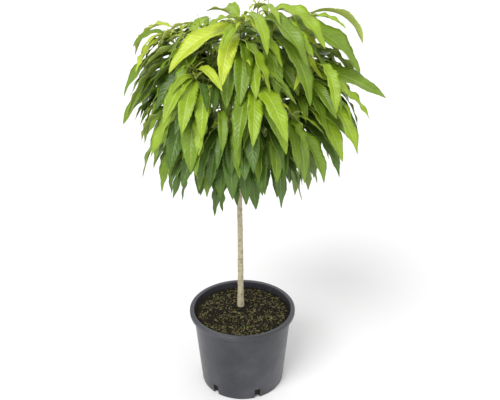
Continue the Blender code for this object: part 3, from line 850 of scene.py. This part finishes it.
def leaf_material(name, colour, roughness, vein_light):
    """A blade's skin: mottled green, with paler side veins and puckers between them."""
    material, tree, shader = new_material(name, colour, roughness)
    place = tree.nodes.new("ShaderNodeTexCoord")
    parts = tree.nodes.new("ShaderNodeSeparateXYZ")
    tree.links.new(place.outputs["UV"], parts.inputs[0])
    across = do_math(tree, "ABSOLUTE", do_math(tree, "SUBTRACT", parts.outputs["X"], 0.5))
    run = do_math(tree, "SUBTRACT", parts.outputs["Y"], do_math(tree, "MULTIPLY", across, VEIN_SWEEP))
    turn = do_math(tree, "MULTIPLY", run, VEINS * math.tau)
    wave = do_math(tree, "MULTIPLY", do_math(tree, "ADD", do_math(tree, "COSINE", turn), 1.0), 0.5)
    vein = do_math(tree, "POWER", wave, VEIN_SHARPNESS)
    stops = [(position, shaded(colour, light)) for position, light in MOTTLE]
    mix = add_node(tree, "ShaderNodeMix", data_type="RGBA", blend_type="MIX")
    tree.links.new(do_math(tree, "MULTIPLY", vein, VEIN_SHOWS), mix.inputs["Factor"])
    tree.links.new(ramp(tree, speckle(tree, MOTTLE_SCALE), stops), mix.inputs["A"])
    mix.inputs["B"].default_value = (*shaded(colour, vein_light), 1)
    tree.links.new(mix.outputs["Result"], shader.inputs["Base Color"])
    bump(tree, shader, do_math(tree, "SUBTRACT", 1.0, wave), VEIN_RELIEF, VEIN_DEPTH)
    return material


# The tones are partly the leaves' own greens and partly painted light and shade: the lime is lit and the
# darkest is shaded.
Tone = namedtuple("Tone", "top under rib")
LEAF_TONES_WITH_PAINTED_LIGHT = {
    "lime": Tone((0.45, 0.56, 0.030), (0.58, 0.63, 0.170), (0.58, 0.67, 0.14)),
    "fresh": Tone((0.265, 0.40, 0.015), (0.44, 0.53, 0.120), (0.40, 0.52, 0.09)),
    "green": Tone((0.155, 0.260, 0.011), (0.33, 0.42, 0.085), (0.27, 0.37, 0.060)),
    "deep": Tone((0.072, 0.145, 0.012), (0.20, 0.29, 0.060), (0.16, 0.25, 0.045)),
}
LEAF_MATERIALS = {}
for name, tone in LEAF_TONES_WITH_PAINTED_LIGHT.items():
    rib_material, _, _ = new_material(f"midrib_{name}", tone.rib, RIB_ROUGHNESS)
    LEAF_MATERIALS[name] = (
        leaf_material(f"leaf_{name}", tone.top, TOP_ROUGHNESS, TOP_VEIN_LIGHT),
        leaf_material(f"leaf_underside_{name}", tone.under, UNDER_ROUGHNESS, UNDER_VEIN_LIGHT),
        rib_material,
    )
print("leaf materials:", sum(len(materials) for materials in LEAF_MATERIALS.values()))

# %% [markdown]
# ## Bark, plastic and soil
#
# The trunk's bark is a pale grey-tan with darker furrows, and the young shoots are still green. The pot is
# dark, nearly black plastic, dulled by dust. The soil is damp peat, with paler fibres and a little moss.
# Each one is noise through a colour ramp, with some of the same noise as relief.

# %% Bark and pot materials
BARK_ROUGHNESS = 0.82
BARK_SHINE = 0.3
BARK_LIGHT = 1.25
BARK_FINER = 2.2
BARK_RELIEF = 0.7
BARK_DEPTH = 0.0010
POT_COLOUR = (0.037, 0.038, 0.046)
POT_CLOUD = ((0.34, (0.023, 0.024, 0.030)), (0.52, (0.038, 0.039, 0.048)), (0.72, (0.070, 0.071, 0.080)))
POT_CLOUD_SCALE = 9.0
POT_ROUGHNESS = 0.36
SCUFF_SCALE = 60.0
SCUFF_ROUGHNESS = (0.22, 0.50)
SCUFF_RELIEF = 0.08
SCUFF_DEPTH = 0.0006


def bark_material(name, dark, pale, scale):
    material, tree, shader = new_material(name, pale, BARK_ROUGHNESS, BARK_SHINE)
    stops = ((0.30, dark), (0.48, pale), (0.78, shaded(pale, BARK_LIGHT)))
    tree.links.new(ramp(tree, speckle(tree, scale), stops), shader.inputs["Base Color"])
    bump(tree, shader, speckle(tree, scale * BARK_FINER), BARK_RELIEF, BARK_DEPTH)
    return material


def pot_material():
    """Smooth dark plastic, a little blue, with faint dust and scuffs that change its gloss."""
    material, tree, shader = new_material("pot_plastic", POT_COLOUR, POT_ROUGHNESS)
    colour = ramp(tree, speckle(tree, POT_CLOUD_SCALE, 6.0), POT_CLOUD)
    tree.links.new(colour, shader.inputs["Base Color"])
    scuffs = speckle(tree, SCUFF_SCALE, 8.0, 0.7)
    gloss = add_node(tree, "ShaderNodeMapRange")
    tree.links.new(scuffs, gloss.inputs["Value"])
    gloss.inputs["To Min"].default_value = SCUFF_ROUGHNESS[0]
    gloss.inputs["To Max"].default_value = SCUFF_ROUGHNESS[1]
    tree.links.new(gloss.outputs["Result"], shader.inputs["Roughness"])
    bump(tree, shader, scuffs, SCUFF_RELIEF, SCUFF_DEPTH)
    return material


BARK = bark_material("trunk_bark", (0.20, 0.165, 0.095), (0.47, 0.42, 0.28), 130.0)
GREEN_BARK = bark_material("shoot_bark", (0.15, 0.17, 0.05), (0.30, 0.34, 0.11), 170.0)
POT_PLASTIC = pot_material()
print("materials:", BARK.name, GREEN_BARK.name, POT_PLASTIC.name)

# %% Soil materials
SOIL_ROUGHNESS = 0.95
SOIL_SHINE = 0.2
SOIL_RELIEF = 1.0
SOIL_DEPTH = 0.0025
PALE_FROM = 0.72
CRUMB_PALE_FROM = 0.80


def soil_material(name, dark, middle, pale, scale, pale_from=PALE_FROM):
    material, tree, shader = new_material(name, middle, SOIL_ROUGHNESS, SOIL_SHINE)
    grain = speckle(tree, scale, 8.0, 0.75)
    colour = ramp(tree, grain, ((0.36, dark), (0.55, middle), (pale_from, pale)))
    tree.links.new(colour, shader.inputs["Base Color"])
    bump(tree, shader, grain, SOIL_RELIEF, SOIL_DEPTH)
    return material


PEAT = soil_material("peat", (0.006, 0.005, 0.003), (0.022, 0.018, 0.010), (0.10, 0.080, 0.045), 300.0)
CRUMB_COLOURS = ((0.005, 0.004, 0.002), (0.017, 0.014, 0.008), (0.11, 0.095, 0.05))
CRUMB = soil_material("crumbs", *CRUMB_COLOURS, 420.0, CRUMB_PALE_FROM)
FIBRE = soil_material("fibres", (0.16, 0.13, 0.06), (0.34, 0.29, 0.15), (0.52, 0.46, 0.26), 200.0)
MOSS = soil_material("moss", (0.06, 0.09, 0.010), (0.16, 0.23, 0.025), (0.30, 0.38, 0.06), 500.0)
print("soil materials:", PEAT.name, CRUMB.name, FIBRE.name, MOSS.name)

# %% [markdown]
# ## Leaves
#
# A peach leaf is a long lance, folded up a little along its midrib, with wavy, finely toothed edges and a
# drawn-out point. One leaf could be modelled by hand and copied, but then all would bend alike. Here each
# is a thin closed skin over its own grid: rows run from the stalk to the point, and columns from edge to
# edge. One mesh holds many leaves of a tone, so that hundreds of leaves are a few pieces.

# %% One leaf as a grid of points
ROWS = 28
COLUMNS = (-1.0, -0.66, -0.32, -0.045, 0.045, 0.32, 0.66, 1.0)
RIB_COLUMN = 3
FOLD = 0.42
FOLD_SHARES = (0.4, 1.4)
BLADE_THICKNESS = 0.00045
STALK_WIDTH = 0.0016
POINT_WIDTH = STALK_WIDTH / 4
TEETH = 0.030
SLIMMER = 0.88
STRAP = 0.78
WAVES = (2.5, 5.5)
WAVE_SIZES = (0.10, 0.30)
OTHER_EDGE = 2.0


def leaf_grid(leaf, rng):
    """Points (row, column, xyz) of a leaf's middle surface, and the direction out of its top at each row."""
    line = midrib(leaf)
    phase = rng.uniform(0, math.tau)
    waves = rng.uniform(*WAVES)
    wave_size = rng.uniform(*WAVE_SIZES)
    fold = FOLD * rng.uniform(*FOLD_SHARES)
    grid = np.empty((ROWS + 1, len(COLUMNS), 3))
    ups = np.empty((ROWS + 1, 3))
    for row in range(ROWS + 1):
        t = row / ROWS
        along, side, up = leaf_frame(leaf, t)
        place = t * MIDRIB_STEPS
        low = min(int(place), MIDRIB_STEPS - 1)
        centre = line[low].lerp(line[low + 1], place - low)
        tooth = 1 + TEETH * (1 if row % 2 else -1)
        half = max(STALK_WIDTH / 2, leaf.width / 2 * SLIMMER * blade_width(t) ** STRAP * tooth)
        if row == ROWS:
            half = POINT_WIDTH / 2
        ups[row] = up
        for column, share in enumerate(COLUMNS):
            wave = wave_size * math.sin(phase + t * waves * math.tau + (share > 0) * OTHER_EDGE)
            lift = fold * abs(share) + wave * share * share
            grid[row, column] = centre + side * (share * half) + up * (lift * half)
    return grid, ups


print("points on a leaf's grid:", (ROWS + 1) * len(COLUMNS))

# %% The faces that every leaf shares
TOP_SLOT = 0
UNDER_SLOT = 1
RIB_SLOT = 2


def leaf_faces():
    """Corner numbers of one leaf's faces, and the material slot of each. The rim joins its two skins."""
    wide = len(COLUMNS)
    under = (ROWS + 1) * wide
    faces, slots = [], []
    for row in range(ROWS):
        for column in range(wide - 1):
            a = row * wide + column
            rib = column == RIB_COLUMN
            faces.append((a, a + 1, a + 1 + wide, a + wide))
            slots.append(RIB_SLOT if rib else TOP_SLOT)
            faces.append((under + a, under + a + wide, under + a + 1 + wide, under + a + 1))
            slots.append(RIB_SLOT if rib else UNDER_SLOT)
    border = list(range(wide))
    border += [row * wide + wide - 1 for row in range(1, ROWS + 1)]
    border += [ROWS * wide + column for column in range(wide - 2, -1, -1)]
    border += [row * wide for row in range(ROWS - 1, 0, -1)]
    for a, b in zip(border, border[1:] + border[:1]):
        faces.append((b, a, under + a, under + b))
        slots.append(UNDER_SLOT)
    return np.array(faces), np.array(slots)


LEAF_FACES, FACE_SLOTS = leaf_faces()
row_share = np.repeat(np.linspace(0, 1, ROWS + 1), len(COLUMNS))
column_share = np.tile((np.array(COLUMNS) + 1) / 2, ROWS + 1)
CORNER_UV = np.tile(np.stack([column_share, row_share], axis=1), (2, 1))
print("triangles a leaf:", 2 * len(LEAF_FACES))

# %% Join leaves into pieces
MOST_LEAVES = 190


def add_mesh(name, points, edges, faces, materials):
    """A piece from lists of points, edges and faces, with its material slots filled."""
    mesh = bpy.data.meshes.new(name)
    mesh.from_pydata(points, edges, faces)
    for material in materials:
        mesh.materials.append(material)
    piece = bpy.data.objects.new(name, mesh)
    bpy.context.scene.collection.objects.link(piece)
    return piece


def join_leaves(name, leaves, materials, rng):
    """One piece from many leaves, with the top, underside and midrib materials in its three slots."""
    points, faces, uvs = [], [], []
    for index, leaf in enumerate(leaves):
        grid, ups = leaf_grid(leaf, rng)
        lift = ups[:, None, :] * (BLADE_THICKNESS / 2)
        points.append(np.concatenate([(grid + lift).reshape(-1, 3), (grid - lift).reshape(-1, 3)]))
        faces.append(LEAF_FACES + index * len(CORNER_UV))
        uvs.append(CORNER_UV[LEAF_FACES.reshape(-1)])
    piece = add_mesh(name, np.concatenate(points), [], np.concatenate(faces).tolist(), materials)
    mesh = piece.data
    mesh.uv_layers.new(name="blade").data.foreach_set("uv", np.concatenate(uvs).astype(np.float32).ravel())
    mesh.polygons.foreach_set("material_index", np.tile(FACE_SLOTS, len(leaves)).astype(np.int32))
    mesh.polygons.foreach_set("use_smooth", np.ones(len(mesh.polygons), bool))
    return piece


print("leaves in one piece, at most:", MOST_LEAVES)

# %% Choose each leaf's tone as painted light and shade, and make the pieces
# Painted light and shade: a leaf's light comes from its height and its reach from the trunk, and it takes the
# first tone whose threshold it passes.
LIT_FROM = {"lime": 0.86, "fresh": 0.66, "green": 0.40, "deep": -math.inf}
CROWN_FOOT = 0.56
CROWN_DEPTH = 0.34
CROWN_REACH = 0.16
HEIGHT_SHARE = 0.75
REACH_SHARE = 0.25
TONE_SPREAD = 0.26
HANG = 0.3


def lit_or_shaded_tone(leaf, rng):
    """Painted light and shade: high and outer leaves are lime, and low or inner ones are dark, with a random
    spread.
    """
    middle = leaf.root + Vector((0, 0, -HANG * leaf.length))
    reach = (leaf.root - trunk_centre(leaf.root.z)).xy.length
    light = (middle.z - CROWN_FOOT) / CROWN_DEPTH * HEIGHT_SHARE + reach / CROWN_REACH * REACH_SHARE
    light += rng.uniform(-TONE_SPREAD, TONE_SPREAD)
    return next(name for name, least in LIT_FROM.items() if light > least)


sprays = {name: [] for name in LEAF_TONES_WITH_PAINTED_LIGHT}
rng = random.Random(f"{SEED} tones")
for mass in masses.values():
    for leaf in mass.leaves:
        sprays[lit_or_shaded_tone(leaf, rng)].append(leaf)
sprays["lime"] += tufts
leaf_pieces = []
for name, leaves in sprays.items():
    for part, first in enumerate(range(0, len(leaves), MOST_LEAVES)):
        share = leaves[first : first + MOST_LEAVES]
        leaf_pieces.append(join_leaves(f"leaves_{name}_{part + 1}", share, LEAF_MATERIALS[name], rng))
    print(name, "leaves:", len(leaves))

# %% [markdown]
# ## Trunk, boughs and twigs
#
# The trunk is pale, thin and nearly straight, with knots where side shoots were rubbed off and a swollen
# graft at its top. A cylinder with a Displace modifier could give the relief, but this trunk's radius and
# line change all the way up, so rings of points follow them, and noise pushes the points in and out.

# %% Knots and bark relief
RELIEF = 0.00035
RIDGES = (2.5, 40)
GRAIN = (9, 160)
RIDGE_SHARE = 1.4
KNOTS = 15
FIRST_KNOT = 0.08
KNOTS_SPAN = 0.80
KNOT_SCATTER = 0.7
KNOT_TURN = 0.4
KNOT_SHARES = (0.5, 1.0)
KNOT_HEIGHT = 0.0016
KNOT_SIZE = 0.0055
KNOT_ENDS = 2.5
KNOT_STEEPNESS = 1.6


def trunk_knots(rng):
    """Height, bearing and size of each knot, in a spiral up the trunk."""
    foot = SOIL_TOP + GAP
    knots = []
    for index in range(KNOTS):
        share = FIRST_KNOT + KNOTS_SPAN * (index + rng.random() * KNOT_SCATTER) / KNOTS
        turn = index * GOLDEN_ANGLE + rng.uniform(-KNOT_TURN, KNOT_TURN)
        knots.append((foot + (TRUNK_TOP - foot) * share, turn, rng.uniform(*KNOT_SHARES)))
    return knots


def bark_noise(way, height, across, up):
    return noise.noise(Vector((way.x * across, way.y * across, height * up)))


def bark_height(turn, height, radius, knots):
    """How far the bark stands out from the plain trunk: ridges that run up it, fine grain, and knots."""
    way = outward(turn)
    out = RELIEF * (RIDGE_SHARE * bark_noise(way, height, *RIDGES) + bark_noise(way, height, *GRAIN))
    for knot_height, knot_turn, size in knots:
        rise = (height - knot_height) / KNOT_SIZE
        if abs(rise) <= KNOT_ENDS:
            round_by = math.remainder(turn - knot_turn, math.tau) * radius / KNOT_SIZE
            out += KNOT_HEIGHT * size * math.exp(-(rise * rise + round_by * round_by) * KNOT_STEEPNESS)
    return out


print("knots on the trunk:", KNOTS)

# %% The trunk
TRUNK_RING = 48
TRUNK_ROWS = 360


def barked_trunk(rng):
    """The trunk's solid again, in fine rings with bark."""
    knots = trunk_knots(rng)
    points = []
    for height in np.linspace(SOIL_TOP + GAP, TRUNK_TOP, TRUNK_ROWS):
        centre = trunk_centre(height)
        radius = trunk_radius(height)
        for k in range(TRUNK_RING):
            turn = math.tau * k / TRUNK_RING
            points.append(centre + outward(turn) * (radius + bark_height(turn, height, radius, knots)))
    faces = []
    for row in range(TRUNK_ROWS - 1):
        for k in range(TRUNK_RING):
            a = row * TRUNK_RING + k
            b = row * TRUNK_RING + (k + 1) % TRUNK_RING
            faces.append((a, b, b + TRUNK_RING, a + TRUNK_RING))
    faces.append(tuple(reversed(range(TRUNK_RING))))
    faces.append(tuple(range(len(points) - TRUNK_RING, len(points))))
    piece = add_mesh("barked_trunk", points, [], faces, [BARK])
    piece.data.shade_smooth()
    return piece


trunk_piece = barked_trunk(random.Random(f"{SEED} knots"))
print("trunk faces:", len(trunk_piece.data.polygons))

# %% Finer lines, and pieces made of many bodies
LIMB_RING = 10
LIMB_STEPS = 22
LOW_BOUGH = 0.3
BOUGH_BUMPS = 0.07
BUMP_TURN = 2.4
TWIG_RING = 6
TWIG_STEPS = 7
LINE_END = 0.9999


def fine_line(points, radii, steps):
    """A smoother line through a limb's points, with its radius at each step."""
    line = []
    thickness = []
    for step in range(steps):
        share = step / (steps - 1)
        place, along = point_along(points, share * LINE_END)
        index = share * (len(radii) - 1)
        low = min(int(index), len(radii) - 2)
        line.append(place)
        thickness.append(radii[low] + (radii[low + 1] - radii[low]) * (index - low))
    return line, thickness


def join_shapes(name, shapes, material):
    """One piece from many closed bodies, each given as its corners and faces."""
    corners, faces = [], []
    for shape in shapes:
        append_shape(corners, faces, shape)
    return add_mesh(name, corners, [], faces, [material])


def face_outwards(piece):
    """Turns every face of a piece's closed bodies outwards."""
    shaped = bmesh.new()
    shaped.from_mesh(piece.data)
    bmesh.ops.recalc_face_normals(shaped, faces=shaped.faces)
    shaped.to_mesh(piece.data)
    shaped.free()


print("points round a bough:", LIMB_RING, "and round a twig:", TWIG_RING)

# %% Boughs and twigs
boughs = []
for shoot in SHOOTS:
    points, radii = shoot_part(shoot, 0, RINGS[shoot.ring].bare or LOW_BOUGH, LIMB_STEPS)
    bumpy = [radius * (1 + BOUGH_BUMPS * math.sin(index * BUMP_TURN)) for index, radius in enumerate(radii)]
    boughs.append(tube_shape(points, bumpy, LIMB_RING))
boughs_piece = join_shapes("barked_boughs", boughs, GREEN_BARK)
twigs = []
for mass in masses.values():
    stem = shoot_part(mass.shoot, RINGS[mass.shoot.ring].bare, 1, LIMB_STEPS)
    twigs.append(tube_shape(*stem, LIMB_RING))
    for points, radii in mass.tubes[1:]:
        twigs.append(tube_shape(*fine_line(points, radii, TWIG_STEPS), TWIG_RING))
twigs_piece = join_shapes("twigs", twigs, GREEN_BARK)
for piece in (boughs_piece, twigs_piece):
    piece.data.shade_smooth()
for piece in (trunk_piece, boughs_piece, twigs_piece):
    face_outwards(piece)
print("boughs:", len(boughs), "twigs:", len(twigs))

# %% [markdown]
# ## The pot
#
# A plastic nursery pot has a smooth tapered wall, a lip rolled out and down, and drain slots through its
# foot. It could be a cylinder, extruded and scaled, but a profile shows each thickness and each round at
# its size. The Screw modifier turns it about the Z axis, and boxes cut the slots.

# %% Arcs, and a profile that is turned
POT_SIDES = 160
ARC_STEPS = 6
WALL_HEIGHTS = (0.150, 0.100, 0.050)
MERGE = 0.00001


def wall_radius(height):
    """The outside of the pot's sloping wall at a height."""
    share = height / (POT_HEIGHT - LIP_DROP)
    return FOOT_RADIUS + (SHOULDER_RADIUS - FOOT_RADIUS) * share


def inner_radius(height):
    return wall_radius(height) - WALL


def arc(centre, radius, start, end):
    """Points of an arc in the profile's plane, with angles in degrees."""
    turns = [math.radians(start + (end - start) * step / ARC_STEPS) for step in range(ARC_STEPS + 1)]
    return [(centre[0] + radius * math.cos(a), centre[1] + radius * math.sin(a)) for a in turns]


def turned(name, profile, material):
    """A piece turned about the Z axis from a profile of radii and heights."""
    points = [(x, 0, z) for x, z in profile]
    edges = [(i, i + 1) for i in range(len(profile) - 1)]
    piece = add_mesh(name, points, edges, [], [material])
    screw = piece.modifiers.new("Turn", "SCREW")
    screw.steps = screw.render_steps = POT_SIDES
    screw.use_merge_vertices = True
    screw.merge_threshold = MERGE
    return piece


print("sides of the pot:", POT_SIDES)

# %% Turn the pot
def make_pot():
    """The pot from the middle of its floor, up its inside, over its lip and down its outside."""
    lip_under = POT_HEIGHT - WALL
    round_height = POT_HEIGHT - LIP_ROUND
    lip_inside = RIM_RADIUS - WALL
    profile = [(0, FLOOR), (inner_radius(FLOOR) - HEEL, FLOOR), (inner_radius(FLOOR + HEEL), FLOOR + HEEL)]
    profile += arc((inner_radius(lip_under) + LIP_ROUND, round_height), LIP_ROUND, 180, 90)
    profile += arc((RIM_RADIUS - LIP_ROUND, round_height), LIP_ROUND, 90, 0)
    profile += arc((RIM_RADIUS - WALL / 2, POT_HEIGHT - LIP_DROP + WALL / 2), WALL / 2, 0, -180)
    profile += [(lip_inside, lip_under - LIP_ROUND / 2), (lip_inside - LIP_ROUND / 2, lip_under)]
    profile += [(wall_radius(lip_under), lip_under)]
    profile += [(wall_radius(height), height) for height in (*WALL_HEIGHTS, HEEL)]
    profile += arc((FOOT_RADIUS - HEEL / 2, HEEL / 2), HEEL / 2, 0, -90)
    profile += [(0, 0)]
    return turned("nursery_pot", profile, POT_PLASTIC)


pot_piece = make_pot()
print("points of the pot's profile:", len(pot_piece.data.vertices))

# %% Cut the drain slots
SMOOTH_BELOW = math.radians(40)


def cut_slots(pot):
    """Cuts each drain slot with a plain box, applies the cuts, and smooths all but the sharp edges."""
    inside = FOOT_RADIUS - SLOT_DEPTH
    middle = (inside + SHOULDER_RADIUS) / 2
    for index in range(SLOTS):
        bearing = FIRST_SLOT + index * math.tau / SLOTS
        bpy.ops.mesh.primitive_cube_add(size=1)
        block = bpy.context.object
        block.location = outward(bearing) * middle
        block.rotation_euler = (0, 0, bearing)
        block.scale = (SHOULDER_RADIUS - inside, SLOT_WIDTH, 2 * SLOT_TOP)
        cut = pot.modifiers.new(f"Slot {index + 1}", "BOOLEAN")
        cut.object = block
        cut.solver = "EXACT"
    graph = bpy.context.evaluated_depsgraph_get()
    mesh = bpy.data.meshes.new_from_object(pot.evaluated_get(graph))
    blocks = [modifier.object for modifier in pot.modifiers if modifier.type == "BOOLEAN"]
    pot.modifiers.clear()
    pot.data = mesh
    for block in blocks:
        bpy.data.objects.remove(block, do_unlink=True)
    bpy.ops.object.select_all(action="DESELECT")
    pot.select_set(True)
    bpy.context.view_layer.objects.active = pot
    bpy.ops.object.shade_smooth_by_angle(angle=SMOOTH_BELOW)


cut_slots(pot_piece)
print("pot faces:", len(pot_piece.data.polygons))

# %% [markdown]
# ## The soil
#
# Peat with bark crumbs, tan fibres and a few specks of moss. A flat disc with a picture would look painted
# from near by, so the ground is a disc of rings pushed up and down by noise, and the crumbs, fibres and
# moss are small closed bodies that lie on it. Each has a few faces only, because there are thousands.

# %% Ground
GROUND_RINGS = 90
GROUND_SIDES = 220
GROUND_BUMPS = 0.0022
GROUND_LUMPS = ((60, 0, 1.0), (190, 3, 0.8), (420, 7, 0.6))
GROUND_SINK = 0.0015


def ground_height(x, y):
    """The soil's surface: nearly flat round the trunk's foot, a little lower at the wall, and lumpy."""
    reach = math.hypot(x, y)
    edge = inner_radius(SOIL_EDGE)
    fall = max(0.0, (reach - SOIL_FLAT_RADIUS) / (edge - SOIL_FLAT_RADIUS))
    lumps = sum(share * noise.noise(Vector((x * scale, y * scale, z))) for scale, z, share in GROUND_LUMPS)
    return SOIL_TOP - GROUND_SINK + (SOIL_EDGE - SOIL_TOP) * fall + GROUND_BUMPS * lumps


def make_ground():
    """The soil's solid again: a lumpy top in fine rings, then the sides down to the pot's floor."""
    edge = inner_radius(SOIL_EDGE) - GAP
    heel = inner_radius(FLOOR) - HEEL - GAP
    sides = ((inner_radius(FLOOR + HEEL) - GAP, FLOOR + HEEL + GAP), (heel, FLOOR + GAP))
    points = [(0, 0, ground_height(0, 0))]
    for ring in range(1, GROUND_RINGS + 1):
        for k in range(GROUND_SIDES):
            way = outward(math.tau * k / GROUND_SIDES) * edge * ring / GROUND_RINGS
            points.append((way.x, way.y, ground_height(way.x, way.y)))
    for radius, height in sides:
        for k in range(GROUND_SIDES):
            way = outward(math.tau * k / GROUND_SIDES) * radius
            points.append((way.x, way.y, height))
    faces = [(0, 1 + k, 1 + (k + 1) % GROUND_SIDES) for k in range(GROUND_SIDES)]
    for ring in range(GROUND_RINGS - 1 + len(sides)):
        first = 1 + ring * GROUND_SIDES
        for k in range(GROUND_SIDES):
            nxt = (k + 1) % GROUND_SIDES
            faces.append((first + k, first + GROUND_SIDES + k, first + GROUND_SIDES + nxt, first + nxt))
    faces.append(tuple(reversed(range(len(points) - GROUND_SIDES, len(points)))))
    piece = add_mesh("ground", points, [], faces, [PEAT])
    piece.data.shade_smooth()
    return piece


ground_piece = make_ground()
print("ground faces:", len(ground_piece.data.polygons))

# %% Sizes of crumbs, fibres and moss
CRUMBS = 2600
CRUMB_SIZES = (0.0010, 0.0034)
CRUMB_HEIGHT = 0.8
CRUMB_MARGIN = 0.005
MOSS_TUFTS = 260
MOSS_SIZES = (0.0012, 0.0030)
MOSS_HEIGHT = 0.9
MOSS_MARGIN = 0.006
LUMP_SIDES = 4
LUMP_SHARES = (0.6, 1.2)
LUMP_HEIGHT_SHARES = (0.7, 1.2)
LUMP_DEPTH = 0.5
FIBRES = 460
FIBRE_LENGTHS = (0.003, 0.011)
FIBRE_RADII = (0.0002, 0.0005)
FIBRE_POINTS = 4
FIBRE_SIDES = 4
FIBRE_BEND = 0.5
FIBRE_LIFT = 0.0012
FIBRE_ARCH = 0.0012
FIBRE_MARGIN = 0.012
FIBRE_END_MARGIN = 0.003


print("crumbs:", CRUMBS, "fibres:", FIBRES, "moss:", MOSS_TUFTS)

# %% Places and shapes on the soil
def on_soil(rng, margin):
    """A random place on the soil, evenly spread, clear of the trunk."""
    edge = inner_radius(SOIL_EDGE) - margin
    while True:
        way = outward(rng.uniform(0, math.tau)) * edge * math.sqrt(rng.random())
        if (way - trunk_centre(SOIL_TOP)).xy.length > TRUNK_RADII[0][1] + margin:
            return Vector((way.x, way.y, ground_height(way.x, way.y)))


def lump(place, size, height, rng):
    """A rough crumb with a corner on top, one below and a ring of corners between them."""
    turn = rng.uniform(0, math.tau)
    ways = [outward(turn + k * math.tau / LUMP_SIDES) for k in range(LUMP_SIDES)]
    corners = [place + way * size * rng.uniform(*LUMP_SHARES) for way in ways]
    corners.append(place + UP * size * height * rng.uniform(*LUMP_HEIGHT_SHARES))
    corners.append(place - UP * size * LUMP_DEPTH)
    faces = []
    for k in range(LUMP_SIDES):
        nxt = (k + 1) % LUMP_SIDES
        faces.append((k, nxt, LUMP_SIDES))
        faces.append((nxt, k, LUMP_SIDES + 1))
    return corners, faces


def scatter(count, margin, sizes, height, rng):
    """Lumps on the soil, each a margin or more from the pot's wall and from the trunk."""
    return [lump(on_soil(rng, margin), rng.uniform(*sizes), height, rng) for _ in range(count)]


def fibre(rng):
    """A thin bent thread that lies on the soil, arched at its second point."""
    start = on_soil(rng, FIBRE_MARGIN)
    length = rng.uniform(*FIBRE_LENGTHS)
    heading = rng.uniform(0, math.tau)
    edge = inner_radius(SOIL_EDGE) - FIBRE_END_MARGIN
    points = []
    for step in range(FIBRE_POINTS):
        way = outward(heading + FIBRE_BEND * step * rng.uniform(-1, 1))
        point = start + way * length * step / (FIBRE_POINTS - 1)
        share = min(1.0, edge / max(point.xy.length, FIBRE_END_MARGIN))
        point.x *= share
        point.y *= share
        point.z = ground_height(point.x, point.y) + FIBRE_LIFT + FIBRE_ARCH * (step == 1)
        points.append(point)
    thick = rng.uniform(*FIBRE_RADII)
    return tube_shape(points, [thick] * FIBRE_POINTS, FIBRE_SIDES)


print("sides of a crumb:", LUMP_SIDES, "sides of a fibre:", FIBRE_SIDES)

# %% Crumbs, fibres and moss
rng = random.Random(f"{SEED} soil")
crumbs_piece = join_shapes("crumbs", scatter(CRUMBS, CRUMB_MARGIN, CRUMB_SIZES, CRUMB_HEIGHT, rng), CRUMB)
fibres_piece = join_shapes("fibres", [fibre(rng) for _ in range(FIBRES)], FIBRE)
moss_piece = join_shapes("moss", scatter(MOSS_TUFTS, MOSS_MARGIN, MOSS_SIZES, MOSS_HEIGHT, rng), MOSS)
for piece in (ground_piece, crumbs_piece, fibres_piece, moss_piece):
    face_outwards(piece)
print("faces on the soil:", [len(piece.data.polygons) for piece in (crumbs_piece, fibres_piece, moss_piece)])

# %% [markdown]
# ## Bodies
#
# The tree has no joints, so every piece rides on the one body, and the plain solids that the pieces stand
# for are hidden.

# %% Ride, and hide the plain solids
pieces = [*leaf_pieces, trunk_piece, boughs_piece, twigs_piece, pot_piece, ground_piece]
pieces += [crumbs_piece, fibres_piece, moss_piece]
for piece in pieces:
    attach(piece, "root")
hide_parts("trunk")
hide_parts("pot")
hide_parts("soil")
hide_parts(*[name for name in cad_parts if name.startswith("bough_")])
masses_of_leaves = [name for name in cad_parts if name.startswith("leaves_")]
for piece in [*leaf_pieces, twigs_piece]:
    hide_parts(*masses_of_leaves)
print("pieces:", len(pieces))

# %% [markdown]
# ## Floor, light and camera
#
# The photograph is a studio picture on white. A pale floor and soft light from all round, with a stronger
# one from the upper left, give its even look. Area lights would fade towards the floor's far edge, so these
# are suns, with wide discs that soften their shadows. The camera stands where the pot's ellipses say it
# stood.

# %% Stage
FLOOR_SIZE = 60.0
FLOOR_COLOUR = (0.90, 0.90, 0.90)
FLOOR_ROUGHNESS = 0.9
FLOOR_SHINE = 0.1
SKY_COLOUR = (1, 1, 1, 1)
SKY_STRENGTH = 0.62
AIM = Vector((0, 0, 0.6))
SUNS = {
    "key": ((-1.0, -1.6, 2.8), 35, 2.1),
    "fill": ((1.8, -1.6, 1.5), 60, 0.55),
    "rim": ((0.6, 1.9, 2.2), 60, 0.50),
}

bpy.ops.mesh.primitive_plane_add(size=FLOOR_SIZE)
floor = bpy.context.object
floor.name = "floor"
floor_material, _, _ = new_material("floor", FLOOR_COLOUR, FLOOR_ROUGHNESS, FLOOR_SHINE)
floor.data.materials.append(floor_material)

world = bpy.data.worlds.new("studio")
bpy.context.scene.world = world
world.use_nodes = True
world.node_tree.nodes["Background"].inputs["Color"].default_value = SKY_COLOUR
world.node_tree.nodes["Background"].inputs["Strength"].default_value = SKY_STRENGTH

for name, (place, softness, strength) in SUNS.items():
    light = bpy.data.lights.new(name, "SUN")
    light.angle = math.radians(softness)
    light.energy = strength
    sun = bpy.data.objects.new(name, light)
    bpy.context.scene.collection.objects.link(sun)
    sun.location = place
    sun.rotation_euler = (AIM - Vector(place)).to_track_quat("-Z", "Y").to_euler()
print("floor:", floor.name, "suns:", len(SUNS))

# %% Camera
LENS = 50.4
SENSOR = 36.0
CAMERA_PLACE = (0.0189, -1.467, 1.168)
CAMERA_PITCH = 24.66
camera_data = bpy.data.cameras.new("camera")
camera_data.lens = LENS
camera_data.sensor_width = SENSOR
camera = bpy.data.objects.new("camera", camera_data)
bpy.context.scene.collection.objects.link(camera)
camera.location = CAMERA_PLACE
camera.rotation_euler = (math.radians(90 - CAMERA_PITCH), 0, 0)
bpy.context.scene.camera = camera
bpy.context.scene.view_settings.view_transform = "Standard"
print("camera at", CAMERA_PLACE, "looking down by", CAMERA_PITCH, "degrees")
